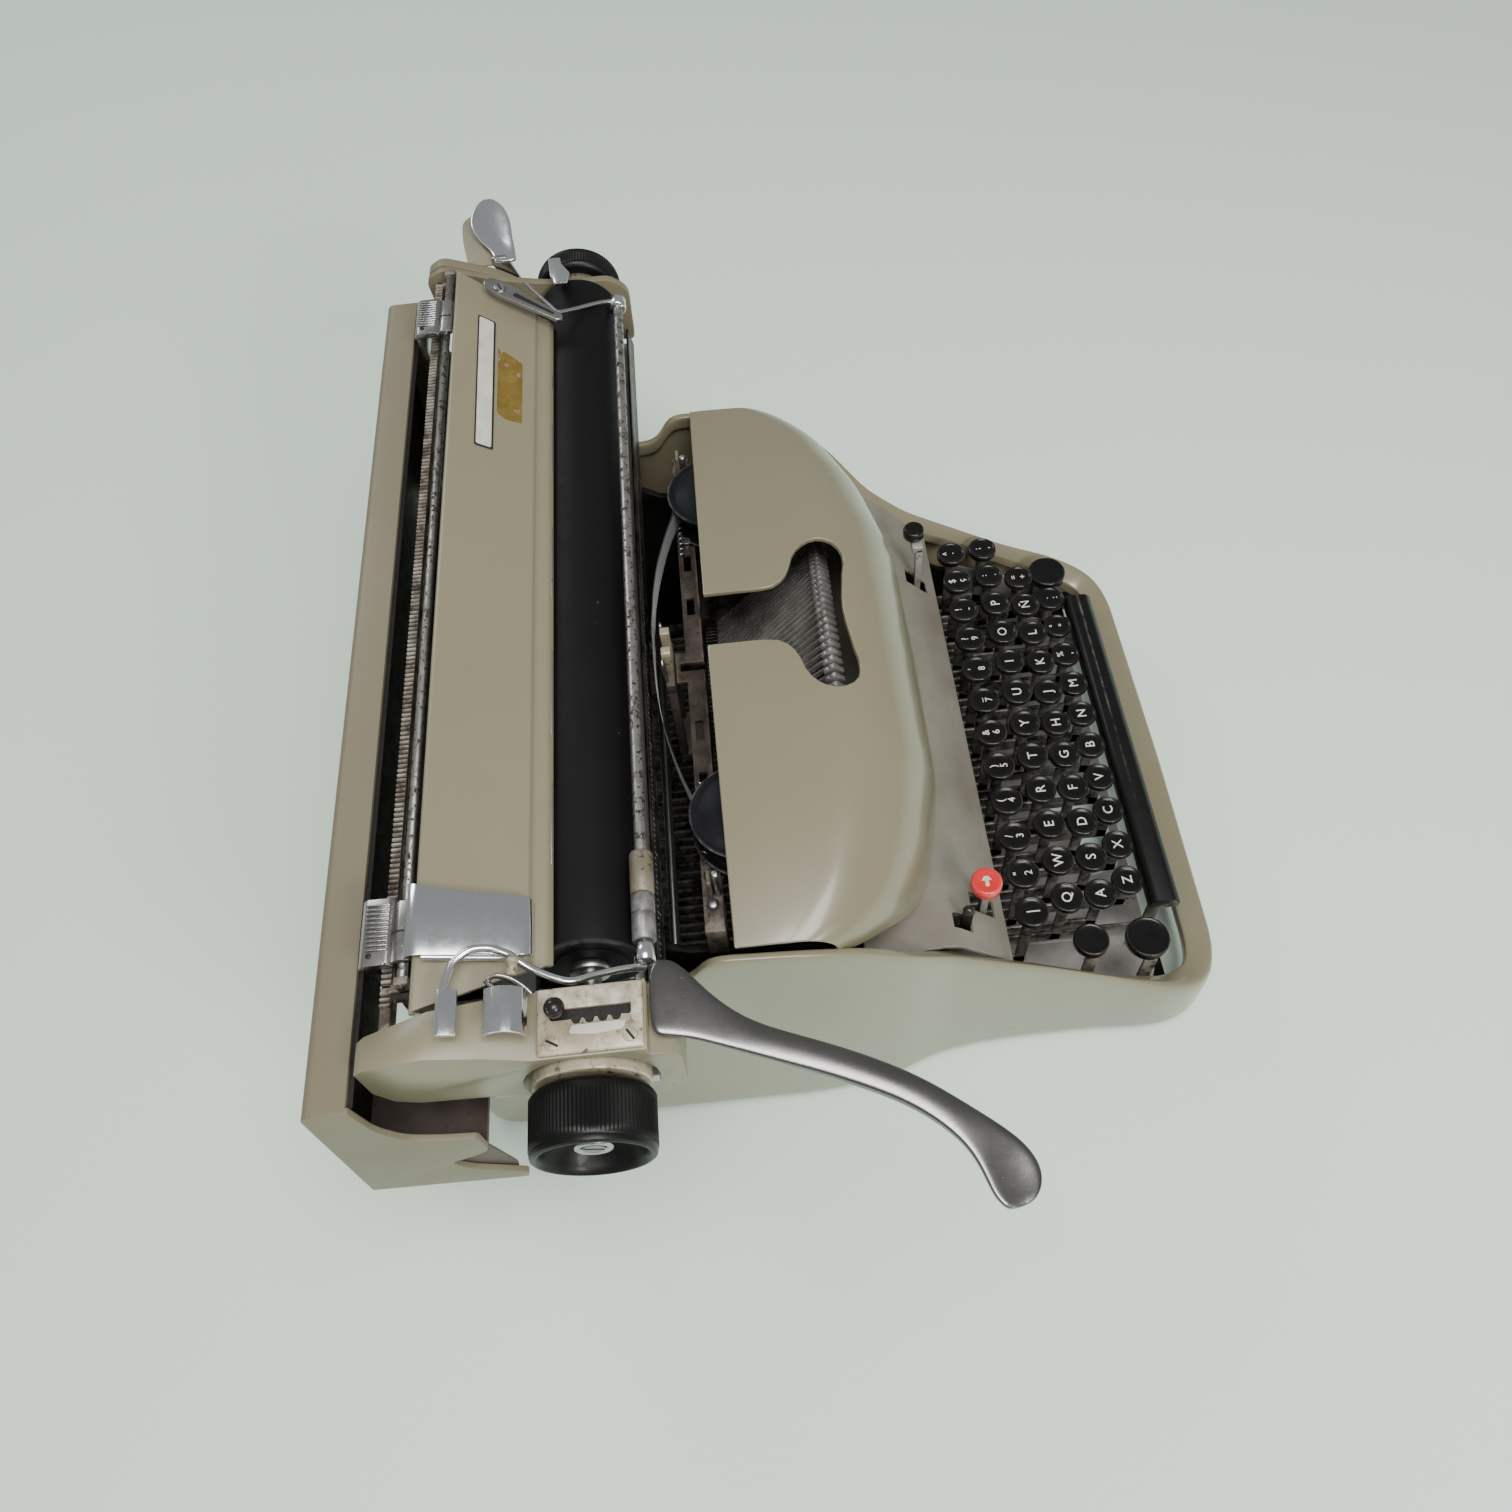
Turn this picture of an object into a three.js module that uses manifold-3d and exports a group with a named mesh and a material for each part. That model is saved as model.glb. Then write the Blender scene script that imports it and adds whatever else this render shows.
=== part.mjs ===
// Wide-carriage office typewriter. Millimetres, +X to the typist's right, +Y to the back, +Z up, desk at z 0.
// Shapes are laid out about the machine's centre plane; the root group moves them so that the origin is the
// centre of the footprint.
import * as THREE from "three";
import { mergeVertices } from "three/addons/utils/BufferGeometryUtils.js";
import Module from "manifold-3d";

const wasm = await Module();
wasm.setup();

// ---------------------------------------------------------------- driving dimensions
const FOOTPRINT_SHIFT = { x: -9, y: 11.25 };
const GAP = 0.3;

const PLATEN = { radius: 20, left: -150, right: 209, y: 77.4, z: 190.5 };
const KNOB = { radius: 21.5, leftWidth: 22, rightWidth: 13, leftInner: -196, rightInner: 219 };
const KEY = { pitch: 19.05, firstX: -103.3, radius: 7.5, thick: 4.5, leverThick: 1.6 };
const LEVER = { top: 46, bottom: 38, pivotY: 60, pivotZ: 50, tail: 66 };
const ROW_BAR = { bottom: 21, top: 24, half: 1.5 };
const FULCRUM_RADIUS = 2.5;
const SHELL = { bottom: 8, wall: 2.4 };
const HOOD = { half: 142.7, rear: 26.5, crown: 192, fall: 15.3, thick: 2.2 };
const REAR_COVER = { half: 201.5, top: 212, front: 154, back: 171, thick: 2.2 };
const RAIL = { bottom: 147, top: 158 };
const BED = { bottom: 160, top: 166 };
const TYPEBAR = { pivotY: 21.7, pivotZ: 122.7, length: 73, count: 45, slugPitch: 4, pivotPitch: 2.9 };
const SPOOL = { x: 86, y: 18.5, radius: 21.5, pack: 15, bottom: 162.6, top: 178.8 };
const RIBBON = { bottom: 164.35, width: 12.7, thick: 0.5 };

// ---------------------------------------------------------------- materials
function finish(color, roughness, metalness) {
  return new THREE.MeshStandardMaterial({ color, roughness, metalness });
}
const ENAMEL = finish(0xa8a290, 0.4, 0.1);
const CHROME = finish(0xc8c9cc, 0.18, 1);
const STEEL = finish(0x9c9a96, 0.4, 1);
const DARK_STEEL = finish(0x3a3632, 0.55, 0.8);
const RUSTY_STEEL = finish(0x6b5847, 0.7, 0.6);
const BLACK_RUBBER = finish(0x2c2c30, 0.7, 0);
const BLACK_PLASTIC = finish(0x17171a, 0.25, 0);
const RED_PLASTIC = finish(0xd8464c, 0.35, 0);
const IVORY = finish(0xc9bfa4, 0.5, 0.2);
const RIBBON_CLOTH = finish(0x1c1c20, 0.95, 0);

// ---------------------------------------------------------------- solid helpers
function toSolid(geometry) {
  const bare = geometry.clone();
  bare.deleteAttribute("normal");
  bare.deleteAttribute("uv");
  const merged = mergeVertices(bare, 1e-4);
  const count = merged.index.count;
  return new wasm.Manifold(new wasm.Mesh({
    numProp: 3,
    vertProperties: new Float32Array(merged.attributes.position.array),
    triVerts: new Uint32Array(merged.index.array.slice(0, count)),
  }));
}

function toGeometry(solid) {
  const mesh = solid.getMesh();
  const geometry = new THREE.BufferGeometry();
  geometry.setAttribute("position", new THREE.BufferAttribute(new Float32Array(mesh.vertProperties), 3));
  geometry.setIndex(new THREE.BufferAttribute(new Uint32Array(mesh.triVerts), 1));
  geometry.computeVertexNormals();
  return geometry;
}

function join(...geometries) {
  return toGeometry(geometries.map(toSolid).reduce((all, one) => all.add(one)));
}

function cut(base, ...tools) {
  return toGeometry(tools.map(toSolid).reduce((all, one) => all.subtract(one), toSolid(base)));
}

function box(x0, x1, y0, y1, z0, z1) {
  const geometry = new THREE.BoxGeometry(x1 - x0, y1 - y0, z1 - z0);
  return geometry.translate((x0 + x1) / 2, (y0 + y1) / 2, (z0 + z1) / 2);
}

function outlineShape(points) {
  return new THREE.Shape(points.map(([a, b]) => new THREE.Vector2(a, b)));
}

function extrude(shape, depth) {
  return new THREE.ExtrudeGeometry(shape, { depth, bevelEnabled: false, curveSegments: 8 });
}

// Side outline given as (y, z), drawn from x0 to x1.
function sidePlate(points, x0, x1) {
  const geometry = extrude(outlineShape(points), x1 - x0);
  const turn = new THREE.Matrix4().set(0, 0, 1, x0, 1, 0, 0, 0, 0, 1, 0, 0, 0, 0, 0, 1);
  return geometry.applyMatrix4(turn);
}

// Plan outline given as (x, y), drawn from z0 to z1.
function planPlate(points, z0, z1) {
  return extrude(outlineShape(points), z1 - z0).translate(0, 0, z0);
}

// Front outline given as (x, z), drawn from y0 to y1.
function frontPlate(points, y0, y1) {
  const geometry = extrude(outlineShape(points), y1 - y0);
  const turn = new THREE.Matrix4().set(1, 0, 0, 0, 0, 0, -1, y1, 0, 1, 0, 0, 0, 0, 0, 1);
  return geometry.applyMatrix4(turn);
}

function cylinder(radius, length, sides = 16) {
  return new THREE.CylinderGeometry(radius, radius, length, sides);
}

function alongX(radius, x0, x1, y, z, sides = 16) {
  return cylinder(radius, x1 - x0, sides).rotateZ(Math.PI / 2).translate((x0 + x1) / 2, y, z);
}

function alongY(radius, y0, y1, x, z, sides = 16) {
  return cylinder(radius, y1 - y0, sides).translate(x, (y0 + y1) / 2, z);
}

function alongZ(radius, z0, z1, x, y, sides = 16) {
  return cylinder(radius, z1 - z0, sides).rotateX(Math.PI / 2).translate(x, y, (z0 + z1) / 2);
}

// Revolved profile of (radius, height) pairs, closed on its axis; the axis becomes +Z.
function revolve(profile, segments = 24) {
  const points = profile.map(([r, h]) => new THREE.Vector2(r, h));
  return new THREE.LatheGeometry(points, segments).rotateX(Math.PI / 2);
}

function ring(segments, radiusAt) {
  return Array.from({ length: segments }, (_, i) => {
    const turn = (i / segments) * 2 * Math.PI;
    return [radiusAt(i) * Math.cos(turn), radiusAt(i) * Math.sin(turn)];
  });
}

// Round or flat bar bent along a path of points.
function bar(points, halfWidth, halfHeight = halfWidth, sides = 8, steps = 12) {
  const path = new THREE.CatmullRomCurve3(points.map((p) => new THREE.Vector3(...p)), false, "centripetal");
  const section = outlineShape(ring(sides, () => 1).map(([a, b]) => [a * halfHeight, b * halfWidth]));
  return new THREE.ExtrudeGeometry(section, { steps, extrudePath: path, bevelEnabled: false });
}

// Skin through closed or open rows of points. Every row has the same number of points.
function skinFaces(rows, columns, wrapRows, wrapColumns, flip) {
  const faces = [];
  const rowEnd = wrapRows ? rows : rows - 1;
  const columnEnd = wrapColumns ? columns : columns - 1;
  for (let i = 0; i < rowEnd; i++) {
    for (let j = 0; j < columnEnd; j++) {
      const a = i * columns + j;
      const b = i * columns + ((j + 1) % columns);
      const c = ((i + 1) % rows) * columns + ((j + 1) % columns);
      const d = ((i + 1) % rows) * columns + j;
      faces.push(...(flip ? [a, c, b, a, d, c] : [a, b, c, a, c, d]));
    }
  }
  return faces;
}

function fromPoints(points, faces) {
  const geometry = new THREE.BufferGeometry();
  geometry.setAttribute("position", new THREE.Float32BufferAttribute(points.flat(), 3));
  geometry.setIndex(faces);
  geometry.computeVertexNormals();
  return geometry;
}

function mix(table, value) {
  const rising = table[0][0] < table[table.length - 1][0];
  const sorted = rising ? table : [...table].reverse();
  if (value <= sorted[0][0]) {
    return sorted[0][1];
  }
  for (let i = 1; i < sorted.length; i++) {
    const [x1, y1] = sorted[i];
    const [x0, y0] = sorted[i - 1];
    if (value <= x1) {
      return y0 + ((y1 - y0) * (value - x0)) / (x1 - x0);
    }
  }
  return sorted[sorted.length - 1][1];
}

// ---------------------------------------------------------------- assembly
const machine = new THREE.Group();
machine.position.set(FOOTPRINT_SHIFT.x, FOOTPRINT_SHIFT.y, 0);

function add(name, geometry, material) {
  const mesh = new THREE.Mesh(geometry, material);
  mesh.name = name;
  machine.add(mesh);
  return mesh;
}

// ---------------------------------------------------------------- body shell
// Half of the shell's crest line, from the middle of the back to the middle of the front:
// [x, y, crest height, lip width, drop from crest to lip].
const CREST = [
  [0, 162, 150, 4, 0.5], [132, 162, 150, 4, 0.5], [142.6, 157.6, 152, 4, 0.5], [147, 147, 156, 4, 0.5],
  [147, 100, 158, 4, 0.5], [147, 44, 158, 4, 0.5], [147, 38, 174, 4, 0.5], [147, 0, 170, 4, 0.5],
  [145, -22, 162, 4, 0.6], [141, -42, 143, 5, 1.5], [134, -60, 121, 8, 6], [131, -80, 104, 7, 7],
  [130, -105, 89, 5.5, 6], [130, -137, 69, 5.6, 6], [132, -165, 54, 10, 7], [129, -181, 46, 14, 4],
  [120, -191, 43, 14, 2], [104, -195, 42, 14, 1.5], [0, -196.5, 41, 14, 1.5],
];

function bodySection(drop, lip, top) {
  const t = SHELL.wall;
  const lipThick = Math.min(t, lip - t - 0.3);
  const bend = Math.min(3.5, lip * 0.3);
  const lipTop = top - drop;
  return [
    [0.5, SHELL.bottom], [0, top - 8], [0.25 * bend, top - 2], [bend, top], [lip - 0.4, lipTop + 0.3],
    [lip, lipTop - 1], [lip, lipTop - 7], [lip - lipThick, lipTop - 7], [lip - lipThick, lipTop - 3.4],
    [t + 0.2, top - drop - 5], [t, top - drop - 12], [0.5 + t, SHELL.bottom],
  ];
}

function bodyShell() {
  const right = CREST;
  const left = CREST.slice(1, -1).reverse().map(([x, ...rest]) => [-x, ...rest]);
  const stations = [...right, ...left];
  const count = stations.length;
  const points = [];
  let columns = 0;
  stations.forEach(([x, y, top, lip, drop], i) => {
    const before = stations[(i + count - 1) % count];
    const after = stations[(i + 1) % count];
    const a = new THREE.Vector2(x - before[0], y - before[1]).normalize();
    const b = new THREE.Vector2(after[0] - x, after[1] - y).normalize();
    const along = a.add(b).normalize();
    const section = bodySection(drop, lip, top);
    columns = section.length;
    section.forEach(([inset, z]) => points.push([x + along.y * inset, y - along.x * inset, z]));
  });
  return fromPoints(points, skinFaces(count, columns, true, true, false));
}
add("body_shell", bodyShell(), ENAMEL);

// Sloping panel between the number keys and the ribbon cover, with slots for the control keys.
const PANEL_HALF = 118;
const panel = sidePlate([[-90.5, 87], [-66, 113], [-50, 121], [-50, 118.8], [-65, 110.6], [-88.8, 85.4]],
  -PANEL_HALF, PANEL_HALF);
const CONTROL_SLOTS = [[-104.5, -96], [81, 89.5]];
add("front_panel", cut(panel, ...CONTROL_SLOTS.map(([x0, x1]) => box(x0, x1, -86, -74, 80, 120)),
  box(-116, -109, -73, -64, 90, 125)), ENAMEL);

// Guide comb whose teeth stand between the key levers.
function keyComb() {
  const step = KEY.pitch / 2;
  const first = KEY.firstX - KEY.pitch / 8;
  const count = 24;
  const teeth = [[first - 2, 66]];
  for (let i = 0; i < count; i++) {
    const x = first + i * step;
    teeth.push([x - 0.5, 66], [x - 0.5, 31], [x + 0.5, 31], [x + 0.5, 66]);
  }
  const last = first + (count - 1) * step + 6;
  teeth.push([last, 66], [last, 76], [first - 2, 76]);
  return frontPlate(teeth, -64, -62.4);
}

// ---------------------------------------------------------------- ribbon cover
function coverTop(x) {
  return HOOD.crown - HOOD.fall * (x / HOOD.half) ** 2;
}

const COVER_EDGE_Y = [[0, -66], [60, -65], [97, -56], [120, -43], [134, -28], [142.7, -12]];
const COVER_EDGE_Z = [[0, 115], [97, 121], [115, 131], [130, 150], [142.7, 162]];

// Point of the cover's outer skin: side from -1 to 1, along from 0 (rear edge) to 1 (front lower edge).
function coverPoint(side, along) {
  const x = side * HOOD.half;
  const top = coverTop(x);
  const edgeY = mix(COVER_EDGE_Y, Math.abs(x));
  const edgeZ = mix(COVER_EDGE_Z, Math.abs(x));
  const flat = 0.35;
  const shoulderY = edgeY + (HOOD.rear - edgeY) * 0.5;
  if (along <= flat) {
    return [x, HOOD.rear + ((shoulderY - HOOD.rear) * along) / flat, top - 0.5 * (along / flat) ** 2];
  }
  const bend = ((along - flat) / (1 - flat)) * 0.5 * Math.PI;
  const y = shoulderY + (edgeY - shoulderY) * Math.sin(bend) ** 0.92;
  return [x, y, edgeZ + (top - 0.5 - edgeZ) * Math.cos(bend) ** 0.8];
}

function coverNormal(side, along) {
  const d = 0.01;
  const s0 = new THREE.Vector3(...coverPoint(Math.max(-1, side - d), along));
  const s1 = new THREE.Vector3(...coverPoint(Math.min(1, side + d), along));
  const a0 = new THREE.Vector3(...coverPoint(side, Math.max(0, along - d)));
  const a1 = new THREE.Vector3(...coverPoint(side, Math.min(0.97, along + d)));
  return a1.sub(a0).cross(s1.sub(s0)).normalize();
}

function ribbonCover() {
  const sides = [0, 0.3, 0.55, 0.75, 0.87, 0.95, 1];
  const across = [...sides.slice(1).reverse().map((s) => -s), ...sides];
  const alongs = [0, 0.18, 0.35, 0.45, 0.55, 0.65, 0.76, 0.88, 1];
  const outer = across.map((s) => alongs.map((a) => coverPoint(s, a)));
  const inner = across.map((s) => alongs.map((a) => {
    const normal = coverNormal(s, a);
    const [x, y, z] = coverPoint(s, a);
    const p = [x - normal.x * HOOD.thick, y - normal.y * HOOD.thick, z - normal.z * HOOD.thick];
    return a === 0 ? [p[0], HOOD.rear, p[2]] : p;
  }));
  const rows = outer.map((line, i) => [...line, ...[...inner[i]].reverse()]);
  const columns = rows[0].length;
  const points = rows.flat();
  const faces = skinFaces(rows.length, columns, false, true, false);
  const half = columns / 2;
  for (const [row, flip] of [[0, false], [rows.length - 1, true]]) {
    for (let j = 0; j < half - 1; j++) {
      const a = row * columns + j;
      const b = row * columns + j + 1;
      const c = row * columns + columns - 2 - j;
      const d = row * columns + columns - 1 - j;
      faces.push(...(flip ? [a, b, c, a, c, d] : [a, c, b, a, d, c]));
    }
  }
  return fromPoints(points, faces);
}

// Opening over the type bars: a narrow neck from the rear edge that flares into a wide foot.
const COVER_OPENING = [
  [13.6, 40], [13.6, 0], [16, -6], [24, -11], [34, -15], [39, -21], [39.5, -27], [36, -33], [28, -35],
  [14, -33], [0, -31.5],
];
const opening = [...COVER_OPENING, ...COVER_OPENING.slice(0, -1).reverse().map(([x, y]) => [-x, y])];
add("ribbon_cover", cut(ribbonCover(), planPlate(opening, 150, 215)), ENAMEL);

// ---------------------------------------------------------------- rear cover
function rearCover() {
  const { half, top, front, back, thick } = REAR_COVER;
  const outline = [[front, top], [back - 2, top], [back + 3, 121], [back + 3 - thick, 121],
    [back - 2 - thick, top - thick], [front, top - thick]];
  const cheek = [[front - 1, top], [back - 2, top], [back + 3, 121], [116, 117], [131, 138], [136, 146],
    [128, 151], [121, 156], [121, 172], [134, 174], [144.5, 178], [151, 190]];
  return join(sidePlate(outline, -half, half), sidePlate(cheek, -half, -half + thick),
    sidePlate(cheek, half - thick, half));
}
add("rear_cover", rearCover(), ENAMEL);

// ---------------------------------------------------------------- frame and feet
const FOOT = { x: 112, frontY: -160, rearY: 138, radius: 13, height: 10 };
for (const [name, x, y] of [
  ["foot_front_left", -FOOT.x, FOOT.frontY], ["foot_front_right", FOOT.x, FOOT.frontY],
  ["foot_rear_left", -FOOT.x, FOOT.rearY], ["foot_rear_right", FOOT.x, FOOT.rearY],
]) {
  add(name, revolve([[0, 0], [FOOT.radius, 0], [FOOT.radius - 2, FOOT.height], [0, FOOT.height]], 16)
    .translate(x, y, 0), BLACK_RUBBER);
}

const FRAME = { outer: 126.5, inner: 123.5, sole: 96 };
const frameSide = [[-176, FOOT.height + GAP], [152, FOOT.height + GAP], [152, RAIL.bottom - GAP],
  [56, RAIL.bottom - GAP], [46, 140], [-20, 132], [-62, 84], [-100, 60], [-150, 40], [-176, 28]];
for (const [name, side] of [["left_frame_plate", -1], ["right_frame_plate", 1]]) {
  const x0 = side < 0 ? -FRAME.outer : FRAME.inner;
  const sole = side < 0 ? [-FRAME.outer, -FRAME.sole] : [FRAME.sole, FRAME.outer];
  const floor = FOOT.height + GAP;
  add(name, join(
    cut(sidePlate(frameSide, x0, x0 + 3), box(x0 - 1, x0 + 4, -10, 40, 30, 90),
      box(x0 - 1, x0 + 4, 74, 130, 30, 110)),
    box(...sole, -176, -142, floor, floor + 3), box(...sole, 120, 152, floor, floor + 3),
  ), DARK_STEEL);
}

const railEnd = 143;
add("front_carriage_rail", join(box(-railEnd, railEnd, 62, 74, RAIL.bottom, RAIL.top),
  box(-railEnd, railEnd, 66, 70, RAIL.top - 1, RAIL.top + 1)), STEEL);
add("rear_carriage_rail", join(box(-railEnd, railEnd, 105, 117, RAIL.bottom, RAIL.top),
  box(-railEnd, railEnd, 109, 113, RAIL.top - 1, RAIL.top + 1)), STEEL);
const crossEnd = FRAME.inner - GAP;
add("rear_frame_bar", join(box(-crossEnd, crossEnd, 146, 149, 40, 140),
  box(-crossEnd, crossEnd, 146, 152, 134, 140)), DARK_STEEL);
add("key_lever_comb", join(keyComb(), box(-crossEnd, crossEnd, -64, -60, 74, 80)), DARK_STEEL);
add("key_fulcrum_shaft", alongX(FULCRUM_RADIUS, -crossEnd, crossEnd, LEVER.pivotY, LEVER.pivotZ, 12), STEEL);

// ---------------------------------------------------------------- type basket
// The type bars fan out from an arc of pivots to a wider arc of type slugs.
function typebarPlace(index) {
  const offset = index - (TYPEBAR.count - 1) / 2;
  const pivotX = offset * TYPEBAR.pivotPitch;
  const slugX = offset * TYPEBAR.slugPitch;
  return {
    pivot: [pivotX, TYPEBAR.pivotY, TYPEBAR.pivotZ - 0.0035 * pivotX ** 2],
    slug: [slugX, -28 - 0.0004 * slugX ** 2, 176 - 0.0045 * slugX ** 2],
  };
}

function typebarSolid({ pivot, slug }, rootHalf = 2.5, tail = 2) {
  const from = new THREE.Vector3(...pivot);
  const to = new THREE.Vector3(...slug);
  const length = from.distanceTo(to);
  const profile = [[-tail, -rootHalf], [length - 6, -1.6], [length - 6, -5], [length, -5],
    [length, 2.4], [-tail, rootHalf]];
  const geometry = extrude(outlineShape(profile), 1.5).translate(0, 0, -0.75);
  const along = to.clone().sub(from).normalize();
  const acrossBar = new THREE.Vector3(1, 0, 0).addScaledVector(along, -along.x).normalize();
  const up = new THREE.Vector3().crossVectors(acrossBar, along);
  const place = new THREE.Matrix4().makeBasis(along, up, acrossBar.clone()).setPosition(from);
  return geometry.applyMatrix4(place);
}

const SINGLE_BAR = 22;
const barPlaces = Array.from({ length: TYPEBAR.count }, (_, i) => typebarPlace(i));
const ends = [barPlaces[0].pivot, barPlaces[TYPEBAR.count - 1].pivot];
function arcBand(yFrom, yTo, above, below, reach = 0) {
  const upper = [];
  const lower = [];
  for (let i = 0; i <= 12; i++) {
    const x = (ends[0][0] - reach) + (i / 12) * (ends[1][0] - ends[0][0] + 2 * reach);
    const arc = TYPEBAR.pivotZ - 0.0035 * x ** 2;
    upper.push([x, arc + above]);
    lower.push([x, arc + below]);
  }
  return frontPlate([...lower, ...upper.reverse()], yFrom, yTo);
}
const singlePivot = typebarPlace(SINGLE_BAR).pivot;
const singleClear = box(singlePivot[0] - 1.2, singlePivot[0] + 1.2, 0, 60, 100, 200);
const rootNotch = box(-1.2, 1.2, 18, 26, TYPEBAR.pivotZ - 2.9, TYPEBAR.pivotZ + 6);
add("typebar_fan", join(...barPlaces.filter((_, i) => i !== SINGLE_BAR).map((place) => typebarSolid(place)),
  cut(arcBand(20.6, 23.2, 0.8, -5), rootNotch)), DARK_STEEL);
add("type_segment", cut(join(arcBand(10, 32, -7, -16, 6), box(-crossEnd, crossEnd, 12, 30, 94, 102)),
  singleClear), DARK_STEEL);

const single = { pivot: singlePivot, slug: [singlePivot[0], -28, 176] };
add("typebar_h", typebarSolid(single, 1.6, 1), DARK_STEEL);

// Two prongs that steady the striking type bar, on a post from the segment.
const GUIDE = { half: 7, gap: 2.6, y0: 43, y1: 47, top: 181 };
const prong = [[GUIDE.gap, 163], [GUIDE.half - 1.4, 163], [GUIDE.half, GUIDE.top],
  [GUIDE.gap + 0.2, GUIDE.top]];
add("type_guide", join(
  frontPlate(prong, GUIDE.y0, GUIDE.y1),
  frontPlate(prong.map(([x, z]) => [-x, z]), GUIDE.y0, GUIDE.y1),
  box(-12, 12, GUIDE.y0, GUIDE.y1, 158, 164), box(-12, -8, GUIDE.y0, GUIDE.y1, 108, 160),
  box(8, 12, GUIDE.y0, GUIDE.y1, 108, 160), box(-12, 12, 32.4, GUIDE.y1, 104.5, 109),
), IVORY);

// ---------------------------------------------------------------- ribbon and spools
for (const [name, side] of [["left_ribbon_spool", -1], ["right_ribbon_spool", 1]]) {
  const { radius, pack, bottom, top } = SPOOL;
  add(name, revolve([[0, bottom], [radius, bottom], [radius, bottom + 1.2], [pack, bottom + 1.6],
    [pack, top - 1.6], [radius, top - 1.2], [radius, top], [5, top], [4, top + 2.2], [0, top + 2.2]], 24)
    .translate(side * SPOOL.x, SPOOL.y, 0), DARK_STEEL);
}
const STRIKE_SLOT = { half: 2.2, rear: 40.6 };
add("spool_bed", join(cut(join(box(-112, 112, 30, 38, 158, 160.5), box(-8, 8, 36, 42.6, 158, 160.5)),
  box(-STRIKE_SLOT.half, STRIKE_SLOT.half, 29, STRIKE_SLOT.rear, 157, 162)),
  ...[-1, 1].map((side) => alongZ(14, 160, 162, side * SPOOL.x, SPOOL.y, 16)),
  ...[-1, 1].map((side) => box(side * SPOOL.x - 6, side * SPOOL.x + 6, SPOOL.y, 34, 158.5, 161.5)),
  ...[-1, 1].map((side) => box(side * 113 - 3, side * 113 + 3, 30, 37, 158, 178)),
  ...[-1, 1].map((side) => box(side * 120 - 8, side * 120 + 8, 30, 38, 140, 160.5))), RUSTY_STEEL);

const RIBBON_PATH = [[-84, 34.6], [-66, 41.5], [-40, 48], [-16, 50.4], [0, 50.8], [16, 50.4], [40, 48],
  [66, 41.5], [84, 34.6]];
function ribbonStrip() {
  const half = RIBBON.thick / 2;
  const offset = (dir) => RIBBON_PATH.map(([x, y], i) => {
    const a = RIBBON_PATH[Math.max(0, i - 1)];
    const b = RIBBON_PATH[Math.min(RIBBON_PATH.length - 1, i + 1)];
    const run = new THREE.Vector2(b[0] - a[0], b[1] - a[1]).normalize();
    return [x - run.y * half * dir, y + run.x * half * dir];
  });
  return planPlate([...offset(-1), ...offset(1).reverse()], RIBBON.bottom, RIBBON.bottom + RIBBON.width);
}
add("ribbon", ribbonStrip(), RIBBON_CLOTH);

// ---------------------------------------------------------------- keys
const KEY_ROWS = [
  { name: "key_row_numbers", keys: 12, shift: 0, y: -101.8, top: 93.4, barY: 52 },
  { name: "key_row_upper", keys: 12, shift: 9.525, y: -120.9, top: 83.6, barY: 46 },
  { name: "key_row_home", keys: 11, shift: 14.2875, y: -138.8, top: 73.7, barY: 40 },
  { name: "key_row_lower", keys: 10, shift: 23.8125, y: -155.2, top: 64.7, barY: 34 },
];
const SINGLE_KEY = { row: "key_row_home", index: 5 };

function keySolid(x, row) {
  const half = KEY.leverThick / 2;
  const cap = alongZ(KEY.radius, row.top - KEY.thick, row.top, x, row.y, 12);
  const stem = box(x - half, x + half, row.y - 2.5, row.y + 2.5, LEVER.bottom + 1, row.top - KEY.thick + 0.5);
  const lever = box(x - half, x + half, row.y - 2.5, LEVER.tail, LEVER.bottom, LEVER.top);
  return join(cap, stem, lever);
}

// The bar that joins a row's levers near their fulcrum, with a stub down from each lever.
function rowBar(row, keyXs) {
  const half = KEY.leverThick / 2;
  const y0 = row.barY - ROW_BAR.half;
  const y1 = row.barY + ROW_BAR.half;
  const last = keyXs[keyXs.length - 1];
  return [box(keyXs[0], last, y0, y1, ROW_BAR.bottom, ROW_BAR.top),
    ...keyXs.map((x) => box(x - half, x + half, y0, y1, ROW_BAR.bottom + 1, LEVER.bottom + 0.5))];
}

for (const row of KEY_ROWS) {
  const xs = Array.from({ length: row.keys }, (_, i) => KEY.firstX + row.shift + i * KEY.pitch);
  const isSingle = (i) => row.name === SINGLE_KEY.row && i === SINGLE_KEY.index;
  const joinedXs = xs.filter((_, i) => !isSingle(i));
  add(row.name, join(...joinedXs.map((x) => keySolid(x, row)), ...rowBar(row, joinedXs)), BLACK_PLASTIC);
  xs.filter((_, i) => isSingle(i)).forEach((x) => add("key_h", keySolid(x, row), BLACK_PLASTIC));
}

// The two arms pass between the key levers, so they are not quite the same distance from the middle.
const SPACE = {
  half: 92, y0: -177.5, y1: -163.5, top: 64.5, bottom: 56, pivotY: 10,
  arms: [KEY.firstX + 0.875 * KEY.pitch, KEY.firstX + 9.875 * KEY.pitch],
};
const spaceSection = [[SPACE.y0, SPACE.bottom], [SPACE.y1, SPACE.bottom], [SPACE.y1, SPACE.top - 2],
  [SPACE.y1 - 3, SPACE.top], [SPACE.y0 + 3, SPACE.top], [SPACE.y0, SPACE.top - 3]];
add("spacebar", join(sidePlate(spaceSection, -SPACE.half, SPACE.half),
  ...SPACE.arms.map((x) => box(x - 0.7, x + 0.7, -172, SPACE.pivotY, 24, 30)),
  ...SPACE.arms.map((x) => box(x - 0.7, x + 0.7, -172, -166, 25, 58)),
  box(...SPACE.arms, 2, 6, 22, 27)), BLACK_PLASTIC);

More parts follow.
